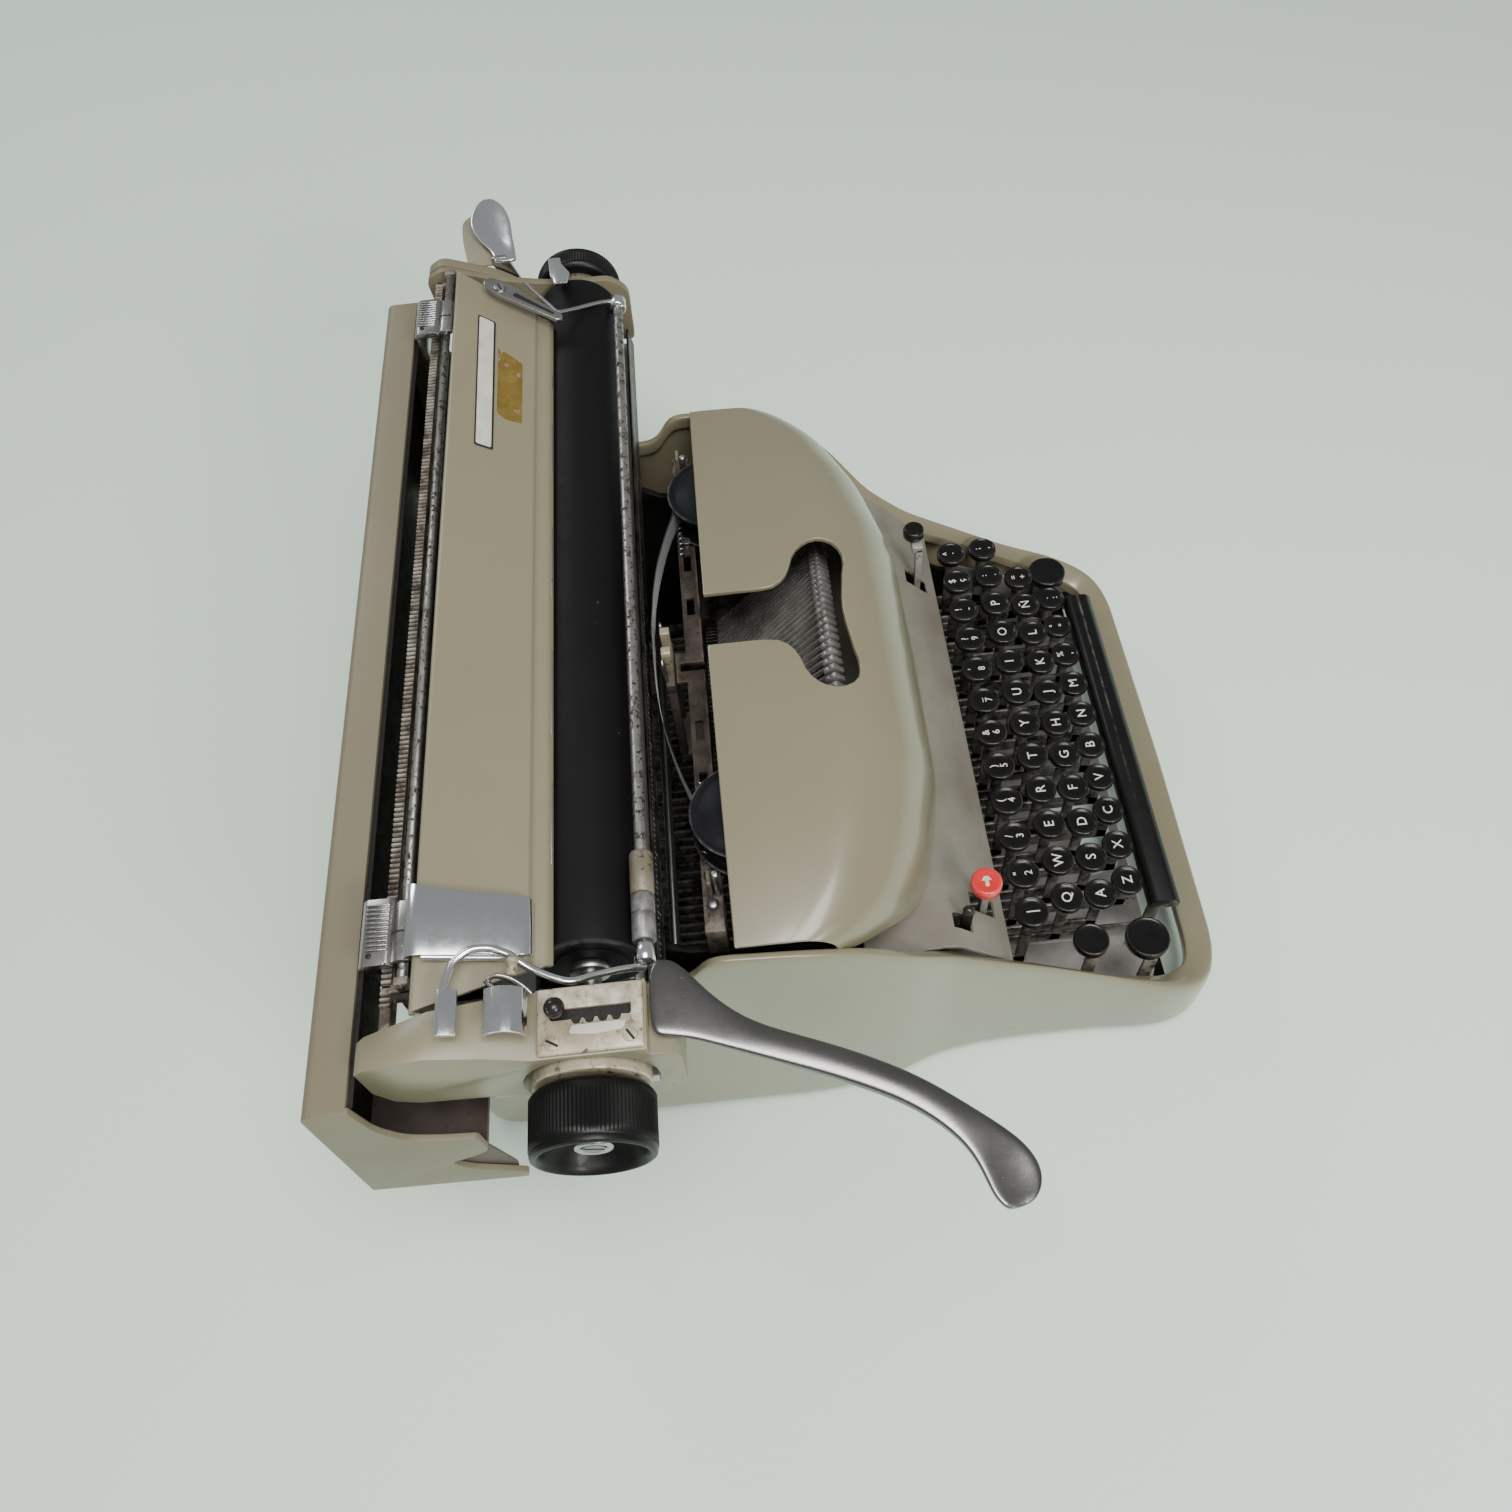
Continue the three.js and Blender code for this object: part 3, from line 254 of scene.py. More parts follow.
SPOOL_BLUE = make("spool_metal", srgb(25, 25, 30), srgb(17, 17, 21), (0.3, 0.5), metal=0.5, blotch=60,
                  grain=(900, 0.12, 0.0001), wear=srgb(120, 122, 130), dirt=srgb(24, 22, 22))
WHITE = make("legend_white", srgb(226, 222, 208), srgb(200, 194, 178), (0.4, 0.6), blotch=160,
             grain=(1800, 0.1, 0.0001))
PLATE_WHITE = make("plate_white", srgb(206, 203, 192), srgb(188, 184, 172), (0.3, 0.45), blotch=60,
                   grain=(1500, 0.06, 0.0001), wear=srgb(120, 112, 100))
GOLD = make("gold_film", srgb(152, 128, 62), srgb(120, 98, 44), (0.35, 0.6), metal=0.55, blotch=160,
            grain=(1200, 0.2, 0.0001), pits=srgb(150, 142, 122), pit_scale=130, pit_level=(0.60, 0.66))
# Near-black: the edge round the name plate and the fill in screw slots, and painted shade standing in for
# holes, slots, a groove, the inside under the line space slot and the inside of the rear cover.
DARK_FILL_AND_SHADE = make("dark_fill_and_painted_shade", srgb(22, 17, 14), srgb(9, 7, 6), (0.5, 0.8), blotch=90,
              grain=(700, 0.5, 0.0005))


# ---------------------------------------------------------------- mesh building
def plate(outline, low, high, plane):
    """A flat outline made thick. Plane "side" takes (y, z) and runs along x, "plan" (x, y) along z and
    "front" (x, z) along y."""
    place = {"side": lambda a, b, t: (t, a, b), "plan": lambda a, b, t: (a, b, t),
             "front": lambda a, b, t: (a, t, b)}[plane]
    count = len(outline)
    points = [place(a, b, low) for a, b in outline] + [place(a, b, high) for a, b in outline]
    faces = [tuple(range(count)), tuple(range(2 * count - 1, count - 1, -1))]
    faces += [(i, (i + 1) % count, count + (i + 1) % count, count + i) for i in range(count)]
    return points, faces


def block(x0, x1, y0, y1, z0, z1):
    return plate([(x0, y0), (x1, y0), (x1, y1), (x0, y1)], z0, z1, "plan")


def lathe(profile, centre, axis, segments=32, radius_at=None):
    """A profile of (radius, height) pairs turned about an axis "x", "y" or "z" through centre."""
    points, faces, rows = [], [], []
    for r, h in profile:
        row = []
        for i in range(1 if r == 0 else segments):
            turn = 2 * math.pi * i / segments
            reach = r + (radius_at(i, r) if radius_at and r else 0)
            a, b = reach * math.cos(turn), reach * math.sin(turn)
            local = {"x": (h, a, b), "y": (a, h, b), "z": (a, b, h)}[axis]
            row.append(len(points))
            points.append(tuple(centre[k] + local[k] for k in range(3)))
        rows.append(row)
    for low, high in zip(rows, rows[1:]):
        for i in range(segments):
            j = (i + 1) % segments
            corners = [low[i % len(low)], low[j % len(low)], high[j % len(high)], high[i % len(high)]]
            unique = list(dict.fromkeys(corners))
            if len(unique) > 2:
                faces.append(tuple(unique))
    return points, faces


def rod(radius, low, high, centre, axis, segments=24, chamfer=0.4):
    """A round bar with chamfered ends, from low to high along its axis."""
    return lathe([(0, low), (radius - chamfer, low), (radius, low + chamfer), (radius, high - chamfer),
                  (radius - chamfer, high), (0, high)], centre, axis, segments)


def smooth_path(points, steps):
    """Points along a Catmull-Rom curve through the given ones."""
    spots = [Vector(p) for p in points]
    spots = [2 * spots[0] - spots[1]] + spots + [2 * spots[-1] - spots[-2]]
    out = []
    for i in range(1, len(spots) - 2):
        p0, p1, p2, p3 = spots[i - 1:i + 3]
        for k in range(steps):
            t = k / steps
            out.append(0.5 * ((2 * p1) + (p2 - p0) * t + (2 * p0 - 5 * p1 + 4 * p2 - p3) * t * t
                              + (3 * p1 - p0 - 3 * p2 + p3) * t ** 3))
    out.append(spots[-2])
    return out


def tube(points, half_width, half_height=None, sides=10, steps=6, side=Vector((1, 0, 0)), taper=None):
    """A round or oval wire along a smooth path. side is the direction of its width."""
    half_height = half_height or half_width
    path = smooth_path(points, steps)
    verts, faces = [], []
    for i, p in enumerate(path):
        along = (path[min(i + 1, len(path) - 1)] - path[max(i - 1, 0)]).normalized()
        wide = (side - along * side.dot(along)).normalized()
        up = along.cross(wide)
        scale = taper(i / (len(path) - 1)) if taper else (1, 1)
        for k in range(sides):
            turn = 2 * math.pi * k / sides
            verts.append(tuple(p + wide * (half_width * scale[0] * math.cos(turn))
                               + up * (half_height * scale[1] * math.sin(turn))))
    for i in range(len(path) - 1):
        for k in range(sides):
            a, b = i * sides + k, i * sides + (k + 1) % sides
            faces.append((a, b, b + sides, a + sides))
    last = (len(path) - 1) * sides
    faces += [tuple(range(sides))[::-1], tuple(range(last, last + sides))]
    return verts, faces


def sheet_grid(rows, wrap_rows=False, wrap_columns=False):
    """Faces through rows of points of equal length."""
    count, width = len(rows), len(rows[0])
    points = [tuple(p) for row in rows for p in row]
    faces = []
    for i in range(count if wrap_rows else count - 1):
        for j in range(width if wrap_columns else width - 1):
            a, b = i * width + j, i * width + (j + 1) % width
            c, d = ((i + 1) % count) * width + (j + 1) % width, ((i + 1) % count) * width + j
            faces.append((a, b, c, d))
    return points, faces


def joined(*parts):
    points, faces = [], []
    for more_points, more_faces in parts:
        start = len(points)
        points += more_points
        faces += [tuple(start + i for i in face) for face in more_faces]
    return points, faces


def turned(part, centre, axis, degrees):
    """The part turned about an axis through centre."""
    turn = Matrix.Rotation(math.radians(degrees), 4, Vector(axis))
    c = Vector(centre)
    return [tuple(turn @ (Vector(p) - c) + c) for p in part[0]], part[1]


def bevel_edges(bm, width, segments, angle):
    edges = [e for e in bm.edges if len(e.link_faces) == 2 and e.calc_face_angle(0) > math.radians(angle)]
    bmesh.ops.bevel(bm, geom=edges, offset=width, segments=segments, profile=0.5, affect="EDGES",
                    clamp_overlap=True)


def piece(name, part, body, look, slot, replaces=(), bevel=0.3, segments=2, angle=28, sharp=50, weld=True):
    """A mesh piece from a part in machine millimetres: bevelled, shaded smooth and riding on its body."""
    bm = bmesh.new()
    verts = [bm.verts.new(p) for p in part[0]]
    for face in part[1]:
        try:
            bm.faces.new([verts[i] for i in face])
        except ValueError:
            continue
    if weld:
        bmesh.ops.remove_doubles(bm, verts=bm.verts, dist=0.001)
    bmesh.ops.recalc_face_normals(bm, faces=bm.faces)
    if bevel:
        bevel_edges(bm, bevel, segments, angle)
    for v in bm.verts:
        v.co = at(*v.co)
    return finish_piece(name, bm, body, look, slot, replaces, sharp)


def finish_piece(name, bm, body, look, slot, replaces=(), sharp=50):
    mesh = bpy.data.meshes.new(name)
    bm.to_mesh(mesh)
    bm.free()
    for face in mesh.polygons:
        face.use_smooth = True
    mesh.set_sharp_from_angle(angle=math.radians(sharp))
    obj = bpy.data.objects.new(name, mesh)
    bpy.context.scene.collection.objects.link(obj)
    mesh.materials.append(look)
    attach(obj, body)
    if replaces:
        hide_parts(*replaces)
    return obj


def dress(node, look, bevel=0.35, segments=2, angle=30):
    """A CAD node that stays: its own look, and soft bevelled edges by modifier."""
    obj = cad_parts[node]
    obj.data.materials.clear()
    obj.data.materials.append(look)
    weld = obj.modifiers.new("weld", "WELD")
    weld.merge_threshold = WELD_GAP
    if bevel:
        mod = obj.modifiers.new("bevel", "BEVEL")
        mod.width = bevel / MM
        mod.segments = segments
        mod.limit_method = "ANGLE"
        mod.angle_limit = math.radians(angle)
        mod.harden_normals = True
    for face in obj.data.polygons:
        face.use_smooth = True


def mirrored(half):
    """The whole outline of a half drawn from the outside to the middle line x = 0."""
    return list(half) + [(-x, y) for x, y in reversed(half) if x != 0]


def interpolate(table, value):
    for (x0, y0), (x1, y1) in zip(table, table[1:]):
        if value <= x1:
            return y0 + (y1 - y0) * max(0, value - x0) / (x1 - x0)
    return table[-1][1]


# ---------------------------------------------------------------- camera, floor and light
CAMERA_AT = (-332.3, 7.3, 603.6)
CAMERA_FORWARD = Vector((0.537041, 0.007935, -0.843519))
CAMERA_RIGHT = Vector((-0.086658, -0.994146, -0.064524))
LENS = 29.89


def make_camera():
    """Over the machine's left side, rolled so that the picture's top points to the machine's right."""
    data = bpy.data.cameras.new("camera")
    data.sensor_width = 36
    data.lens = LENS
    data.clip_start = 0.01
    camera = bpy.data.objects.new("camera", data)
    bpy.context.scene.collection.objects.link(camera)
    up = CAMERA_RIGHT.cross(CAMERA_FORWARD)
    turn = Matrix((CAMERA_RIGHT, up, -CAMERA_FORWARD)).transposed().to_4x4()
    camera.matrix_world = Matrix.Translation(at(*CAMERA_AT)) @ turn
    bpy.context.scene.camera = camera


def make_floor():
    material = bpy.data.materials.new("floor")
    material.use_nodes = True
    shader = material.node_tree.nodes["Principled BSDF"]
    shader.inputs["Base Color"].default_value = (*srgb(224, 242, 228), 1)
    shader.inputs["Roughness"].default_value = 0.9
    mesh = bpy.data.meshes.new("floor")
    reach = 6
    mesh.from_pydata([(-reach, -reach, 0), (reach, -reach, 0), (reach, reach, 0), (-reach, reach, 0)], [],
                     [(0, 1, 2, 3)])
    mesh.materials.append(material)
    floor = bpy.data.objects.new("floor", mesh)
    bpy.context.scene.collection.objects.link(floor)


def area_light(name, place, target, size, watts, tint=(1, 1, 1)):
    data = bpy.data.lights.new(name, "AREA")
    data.shape = "RECTANGLE"
    data.size, data.size_y = size
    data.energy = watts
    data.color = tint
    light = bpy.data.objects.new(name, data)
    bpy.context.scene.collection.objects.link(light)
    light.location = place
    light.rotation_euler = (Vector(target) - Vector(place)).to_track_quat("-Z", "Y").to_euler()


make_camera()
make_floor()
world = bpy.data.worlds.new("studio")
bpy.context.scene.world = world
world.use_nodes = True
world.node_tree.nodes["Background"].inputs["Color"].default_value = (0.93, 0.96, 0.94, 1)
world.node_tree.nodes["Background"].inputs["Strength"].default_value = 0.34
area_light("overhead", (-0.52, -0.16, 1.65), (0, 0, 0.1), (0.9, 0.7), 27, (1, 0.99, 0.97))
area_light("front_left", (-1.3, -0.75, 1.15), (0, 0, 0.1), (0.5, 0.4), 16, (1, 0.98, 0.96))
area_light("back_right", (1.2, 1.0, 1.2), (0, 0, 0.15), (0.6, 0.4), 7, (0.96, 0.98, 1))


# ---------------------------------------------------------------- body shell
# Half of the crest line, from the middle of the back to the middle of the front:
# x, y, crest height, lip width, drop from the crest to the lip.
CREST = [
    (0, 162, 150, 4, 0.5), (132, 162, 150, 4, 0.5), (142.6, 157.6, 152, 4, 0.5), (147, 147, 156, 4, 0.5),
    (147, 100, 158, 4, 0.5), (147, 44, 158, 4, 0.5), (147, 38, 174, 4, 0.5), (147, 0, 170, 4, 0.5),
    (145, -22, 162, 4, 0.6), (141, -42, 143, 5, 1.5), (134, -60, 121, 8, 6), (131, -80, 104, 7, 7),
    (130, -105, 89, 5.5, 6), (130, -137, 69, 5.6, 6), (132, -165, 54, 10, 7), (129, -181, 46, 14, 4),
    (120, -191, 43, 14, 2), (104, -195, 42, 14, 1.5), (0, -196.5, 41, 14, 1.5),
]
SHELL_BOTTOM = 8
SHELL_WALL = 2.4


def shell_section(drop, lip, top):
    """(inset, height) pairs once round the wall: outside, crest, lip, lip's underside, inside."""
    wall = SHELL_WALL
    lip_thick = min(wall, lip - wall - 0.3)
    bend = min(3.5, lip * 0.3)
    lip_top = top - drop
    return [
        (0.5, SHELL_BOTTOM), (0.45, SHELL_BOTTOM + 1.5), (0.1, (SHELL_BOTTOM + top) / 2), (0, top - 8),
        (0.2 * bend, top - 2.2), (0.55 * bend, top - 0.5), (bend, top),
        ((bend + lip) / 2, (top + lip_top + 0.4) / 2),
        (lip - 0.6, lip_top + 0.3), (lip - 0.1, lip_top - 0.4), (lip, lip_top - 1.4), (lip, lip_top - 6.6),
        (lip - 0.4, lip_top - 7), (lip - lip_thick, lip_top - 7), (lip - lip_thick, lip_top - 3.6),
        (wall + 0.2, lip_top - 5), (wall, lip_top - 12), (wall + 0.3, (SHELL_BOTTOM + top) / 2),
        (0.45 + wall, SHELL_BOTTOM + 1.5), (0.5 + wall, SHELL_BOTTOM),
    ]


def dense(stations, longest):
    """More stations along each long stretch between two of them."""
    out = []
    for a, b in zip(stations, stations[1:]):
        steps = max(1, round(math.dist(a[:2], b[:2]) / longest))
        out += [tuple(p + (q - p) * k / steps for p, q in zip(a, b)) for k in range(steps)]
    return out + [stations[-1]]


def body_shell():
    half = dense(CREST, 12)
    stations = half + [(-x, *rest) for x, *rest in half[-2:0:-1]]
    rows = []
    for i, (x, y, top, lip, drop) in enumerate(stations):
        before, after = stations[i - 1], stations[(i + 1) % len(stations)]
        run = (Vector((x - before[0], y - before[1])).normalized()
               + Vector((after[0] - x, after[1] - y)).normalized()).normalized()
        rows.append([(x + run.y * inset, y - run.x * inset, z) for inset, z in shell_section(drop, lip, top)])
    shell = piece("body_shell_skin", sheet_grid(rows, True, True), "machine_body", ENAMEL, "enamel",
                  ["body_shell"], bevel=0, sharp=80)
    smooth = shell.modifiers.new("smooth", "SUBSURF")
    smooth.levels = smooth.render_levels = 2


body_shell()


# ---------------------------------------------------------------- ribbon cover
HOOD_HALF = 142.7
HOOD_REAR = 26.5
HOOD_CROWN = 192
HOOD_FALL = 15.3
HOOD_THICK = 2.2
HOOD_FLAT = 0.35
EDGE_Y = [(0, -66), (60, -65), (97, -56), (120, -43), (134, -28), (142.7, -12)]
EDGE_Z = [(0, 115), (97, 121), (115, 131), (130, 150), (142.7, 162)]


def smooth_table(table, value):
    """The table's line with its corners rounded off."""
    reach = 9
    samples = [interpolate(table, abs(value + reach * k / 4)) for k in range(-4, 5)]
    end = table[-1][0]
    weight = [(4.5 - abs(k)) * (1 if value + reach * k / 4 <= end else 0.0) for k in range(-4, 5)]
    if value > end - 0.5:
        return table[-1][1]
    blend = min(1, (end - value) / reach)
    mean = sum(w * s for w, s in zip(weight, samples)) / sum(weight)
    return mean * blend + interpolate(table, value) * (1 - blend)


def hood_point(x, along):
    """A point of the cover's skin at x, from its rear edge (along 0) to its front lower edge (1)."""
    top = HOOD_CROWN - HOOD_FALL * (x / HOOD_HALF) ** 2
    edge_y = smooth_table(EDGE_Y, abs(x))
    edge_z = smooth_table(EDGE_Z, abs(x))
    shoulder = edge_y + (HOOD_REAR - edge_y) * 0.5
    if along <= HOOD_FLAT:
        t = along / HOOD_FLAT
        return (x, HOOD_REAR + (shoulder - HOOD_REAR) * t, top - 0.5 * t * t)
    bend = (along - HOOD_FLAT) / (1 - HOOD_FLAT) * math.pi / 2
    y = shoulder + (edge_y - shoulder) * math.sin(bend) ** 0.92
    return (x, y, edge_z + (top - 0.5 - edge_z) * math.cos(bend) ** 0.8)


# Half outline of the opening over the type bars, in plan: a narrow neck that flares into a wide foot.
OPENING = [(13.6, 26.5), (13.6, 14), (13.6, 2), (14.4, -3), (16.8, -6.6), (20, -9.2), (24.5, -11.2),
           (30, -12.8),
           (34, -15), (37, -17.8), (39, -21), (39.9, -24.5), (39.5, -28), (37.8, -31.4), (35, -33.8),
           (31, -35.1),
           (26, -35), (20, -33.8), (14, -33), (7, -32), (0, -31.6)]


def along_for(x, y):
    """Where along the cover's profile at x a plan position y lies."""
    low, high = 0.0, 1.0
    for _ in range(24):
        middle = (low + high) / 2
        if hood_point(x, middle)[1] > y:
            low = middle
        else:
            high = middle
    return (low + high) / 2


def offset_outline(outline, distance):
    """An open line moved sideways to its left by distance."""
    out = []
    for i, p in enumerate(outline):
        a, b = Vector(outline[max(0, i - 1)]), Vector(outline[min(len(outline) - 1, i + 1)])
        run = (b - a).normalized()
        out.append((p[0] - run.y * distance, p[1] + run.x * distance))
    return out


def ribbon_cover():
    """The domed skin as a flat (x, along) sheet with the opening cut out, then bent and thickened."""
    stretch = 0.01
    edge = mirrored(OPENING)
    outline = [(x, along_for(x, y)) for x, y in edge]
    outline[0] = (outline[0][0], 0.0)
    outline[-1] = (outline[-1][0], 0.0)
    border = [(HOOD_HALF, 0.0)]
    border += [(HOOD_HALF, k / 24) for k in range(1, 24)]
    border += [(HOOD_HALF * (1 - k / 48), 1.0) for k in range(97)]
    border += [(-HOOD_HALF, 1 - k / 24) for k in range(1, 25)]
    border += [(-HOOD_HALF + (HOOD_HALF - 13.6) * k / 30, 0.0) for k in range(1, 30)]
    border += outline[::-1]
    border += [(13.6 + (HOOD_HALF - 13.6) * k / 30, 0.0) for k in range(1, 30)]
    points = [Vector((x * stretch, a)) for x, a in border]
    count = len(points)
    collar = []
    for distance in (1.4, 3.2):
        collar += [(x, y) for x, y in offset_outline(edge, distance) if y < HOOD_REAR]
    inner = [Vector((x * stretch, along_for(x, y))) for x, y in collar]

    def inside_opening(x, a):
        crossings = 0
        for (x0, a0), (x1, a1) in zip(outline, outline[1:] + outline[:1]):
            if (a0 > a) != (a1 > a) and x < (x1 - x0) * (a - a0) / (a1 - a0) + x0:
                crossings += 1
        return crossings % 2 == 1

    for i in range(1, 80):
        for j in range(1, 40):
            x, a = -HOOD_HALF + 2 * HOOD_HALF * i / 80, j / 40
            y = hood_point(x, a)[1]
            near = min((x - ox) ** 2 + (y - oy) ** 2 for ox, oy in edge)
            if near > 5.5 ** 2 and not inside_opening(x, a):
                inner.append(Vector((x * stretch, a)))
    flat, _, triangles, _, _, _ = delaunay_2d_cdt(points + inner, [], [list(range(count))], 1, 1e-6)
    verts = [hood_point(p.x / stretch, min(1.0, max(0.0, p.y))) for p in flat]
    bm = bmesh.new()
    made = [bm.verts.new(v) for v in verts]
    for face in triangles:
        bm.faces.new([made[i] for i in face])
    bmesh.ops.recalc_face_normals(bm, faces=bm.faces)
    if sum(f.normal.z for f in bm.faces) < 0:
        bmesh.ops.reverse_faces(bm, faces=bm.faces)
    bm.normal_update()
    for v in bm.verts:
        v.co = at(*v.co)
    cover = finish_piece("ribbon_cover_skin", bm, "ribbon_cover", ENAMEL, "enamel", ["ribbon_cover"],
                         sharp=180)
    thick = cover.modifiers.new("thick", "SOLIDIFY")
    thick.thickness = HOOD_THICK / MM
    thick.offset = -1
    thick.use_even_offset = True
    edge_round = cover.modifiers.new("edge", "BEVEL")
    edge_round.width = 0.0006
    edge_round.segments = 3
    edge_round.limit_method = "ANGLE"
    edge_round.angle_limit = math.radians(60)
    edge_round.harden_normals = True


ribbon_cover()


# ---------------------------------------------------------------- rear cover
COVER_HALF = 201.5
COVER_THICK = 2.2


def rounded(outline, radius, steps=5):
    """The closed outline with every corner turned into an arc; radius is one number or one per corner."""
    out = []
    count = len(outline)
    for i, corner in enumerate(outline):
        r = radius[i] if isinstance(radius, (list, tuple)) else radius
        p, a, b = Vector(corner), Vector(outline[i - 1]), Vector(outline[(i + 1) % count])
        reach = min(r, (a - p).length * 0.45, (b - p).length * 0.45)
        start, end = p + (a - p).normalized() * reach, p + (b - p).normalized() * reach
        if reach < 0.01:
            out.append(corner)
            continue
        for k in range(steps + 1):
            t = k / steps
            out.append(tuple((1 - t) ** 2 * start + 2 * t * (1 - t) * p + t * t * end))
    return out


def fused(*parts):
    """One closed mesh from overlapping ones, by exact union."""
    objects = []
    for points, faces in parts:
        mesh = bpy.data.meshes.new("fusing")
        mesh.from_pydata(points, [], faces)
        bm = bmesh.new()
        bm.from_mesh(mesh)
        bmesh.ops.recalc_face_normals(bm, faces=bm.faces)
        bm.to_mesh(mesh)
        bm.free()
        objects.append(bpy.data.objects.new("fusing", mesh))
        bpy.context.scene.collection.objects.link(objects[-1])
    for other in objects[1:]:
        union = objects[0].modifiers.new("union", "BOOLEAN")
        union.operation = "UNION"
        union.solver = "EXACT"
        union.object = other
    bpy.context.view_layer.update()
    evaluated = objects[0].evaluated_get(bpy.context.evaluated_depsgraph_get())
    bm = bmesh.new()
    bm.from_mesh(evaluated.to_mesh())
    bmesh.ops.dissolve_limit(bm, angle_limit=math.radians(0.5), verts=bm.verts, edges=bm.edges)
    result = [tuple(v.co) for v in bm.verts], [tuple(v.index for v in f.verts) for f in bm.faces]
    bm.free()
    for obj in objects:
        mesh = obj.data
        bpy.data.objects.remove(obj)
        bpy.data.meshes.remove(mesh)
    return result


def rear_cover():
    """A long trough: top, slanting back, and a cheek at each end with the window for the carriage."""
    back = [(154, 212), (169, 212), (174, 121), (171.8, 121), (166.8, 209.8), (154, 209.8)]
    radii = [0, 4, 0, 0, 2.5, 0]
    cheek = [(153, 212), (169, 212), (174, 121), (114.5, 118), (113.5, 124), (133, 136), (137.4, 146),
             (128, 151),
             (120.5, 157), (121, 172), (134, 174), (144.5, 178), (151, 190)]
    cheek_radii = [0, 4, 0, 3, 2, 8, 3.4, 6, 3, 1.5, 8, 8, 14]
    trough = plate(rounded(back, radii), -COVER_HALF + 1, COVER_HALF - 1, "side")
    ends = [plate(rounded(cheek, cheek_radii, 8), low, low + COVER_THICK, "side")
            for low in (-COVER_HALF, COVER_HALF - COVER_THICK)]
    piece("rear_cover_skin", fused(trough, *ends), "machine_body", ENAMEL_DULL, "enamel", ["rear_cover"],
          bevel=0.5, segments=3, angle=40)
    liner = [(121.6, 156.6), (127, 152.4), (134, 148), (146, 144), (160, 142), (171.4, 141.6), (171.4, 140.4),
             (160, 140.8), (146, 142.8), (133.4, 146.8), (126.4, 151.2), (121.2, 155.4)]
    for name, low, high in (("left", -199.2, -147.6), ("right", 147.6, 199.2)):
        piece("rear_cover_liner_" + name, plate(liner, low, high, "side"), "machine_body", BARE_BROWN,
              "enamel",
              bevel=0)
    # A near-black sheet just inside the cover's top and back: painted shade that darkens the cover's inside.
    shade_sheet = [(152.5, 209.3), (166.2, 209.3), (171.2, 122), (170.8, 122), (165.8, 208.9), (152.5, 208.9)]
    piece("rear_cover_shade_sheet", plate(shade_sheet, -198.8, 198.8, "side"), "machine_body", DARK_FILL_AND_SHADE, "enamel",
          bevel=0)
    for name, side in (("left", -1), ("right", 1)):
        x0, x1 = sorted((side * 198.9, side * 197.9))
        web = [(170, 123), (118, 120), (116.5, 128), (122, 156), (134, 149.5), (170, 141)]
        piece("rear_cover_web_" + name, plate(rounded(web, [2, 3, 4, 3, 4, 2]), x0, x1, "side"),
              "machine_body",
              BARE_BROWN, "enamel", bevel=0.2)


rear_cover()


# ---------------------------------------------------------------- shoulders and sloping panel
def front_panel():
    """The panel between the keys and the ribbon cover, drawn out sideways to meet the shell's lip."""
    line = [(-90.5, 87), (-88, 89.9), (-76, 102.7), (-67, 112), (-63.5, 114.6), (-58, 117.3), (-50, 121),
            (-40, 125),
            (-24, 131)]
    reach = [(-90.5, 123.4), (-76, 124.6), (-66, 125.4), (-58, 126.6), (-50, 129), (-40, 132), (-24, 138)]

    def slots(y0, y1):
        return [(x0, x1) for x0, x1, a,
                b in ((-104.5, -96, -86, -74), (81, 89.5, -86, -74), (-116, -109, -73, -64))
                if a <= (y0 + y1) / 2 <= b]

    ys = sorted({y for y, _ in line} | {-86, -74, -73, -64, -82, -78, -70, -54, -45, -32})
    xs = sorted({-116, -109, -104.5, -96, 81, 89.5, -118, 118} | {k * 12.0 for k in range(-9, 10)})
    points, faces, index = [], [], {}

    def spot(x, y, edge):
        key = (round(x, 3), round(y, 3))
        if key not in index:
            index[key] = len(points)
            rise = 0.0
            if edge:
                rise = 2.5 * max(0.0, min(1.0, (y + 92) / 50))
            points.append((x, y, interpolate(line, y) + rise))
        return index[key]

    for y0, y1 in zip(ys, ys[1:]):
        gaps = slots(y0, y1)
        for x0, x1 in zip(xs, xs[1:]):
            if any(a <= (x0 + x1) / 2 <= b for a, b in gaps):
                continue
            faces.append((spot(x0, y0, 0), spot(x1, y0, 0), spot(x1, y1, 0), spot(x0, y1, 0)))
        for side in (-1, 1):
            inner0, inner1 = side * 118, side * 118
            outer0, outer1 = side * interpolate(reach, y0), side * interpolate(reach, y1)
            quad = (spot(inner0, y0, 0), spot(outer0, y0, 1), spot(outer1, y1, 1), spot(inner1, y1, 0))
            faces.append(quad if side > 0 else quad[::-1])
    panel = piece("front_panel_sheet", (points, faces), "machine_body", ENAMEL_PANEL, "enamel",
                  ["front_panel"],
                  bevel=0, sharp=70)
    thick = panel.modifiers.new("thick", "SOLIDIFY")
    thick.thickness = 0.0018
    thick.offset = -1
    edge_round = panel.modifiers.new("edge", "BEVEL")
    edge_round.width = 0.0004
    edge_round.segments = 2
    edge_round.limit_method = "ANGLE"
    edge_round.angle_limit = math.radians(50)
    edge_round.harden_normals = True


front_panel()


# ---------------------------------------------------------------- keyboard
KEY_PITCH = 19.05
KEY_FIRST = -103.3
CAP_RADIUS = 7.5
CAP_THICK = 4.5
LEVER_LOW, LEVER_HIGH, LEVER_END = 38, 46, 66
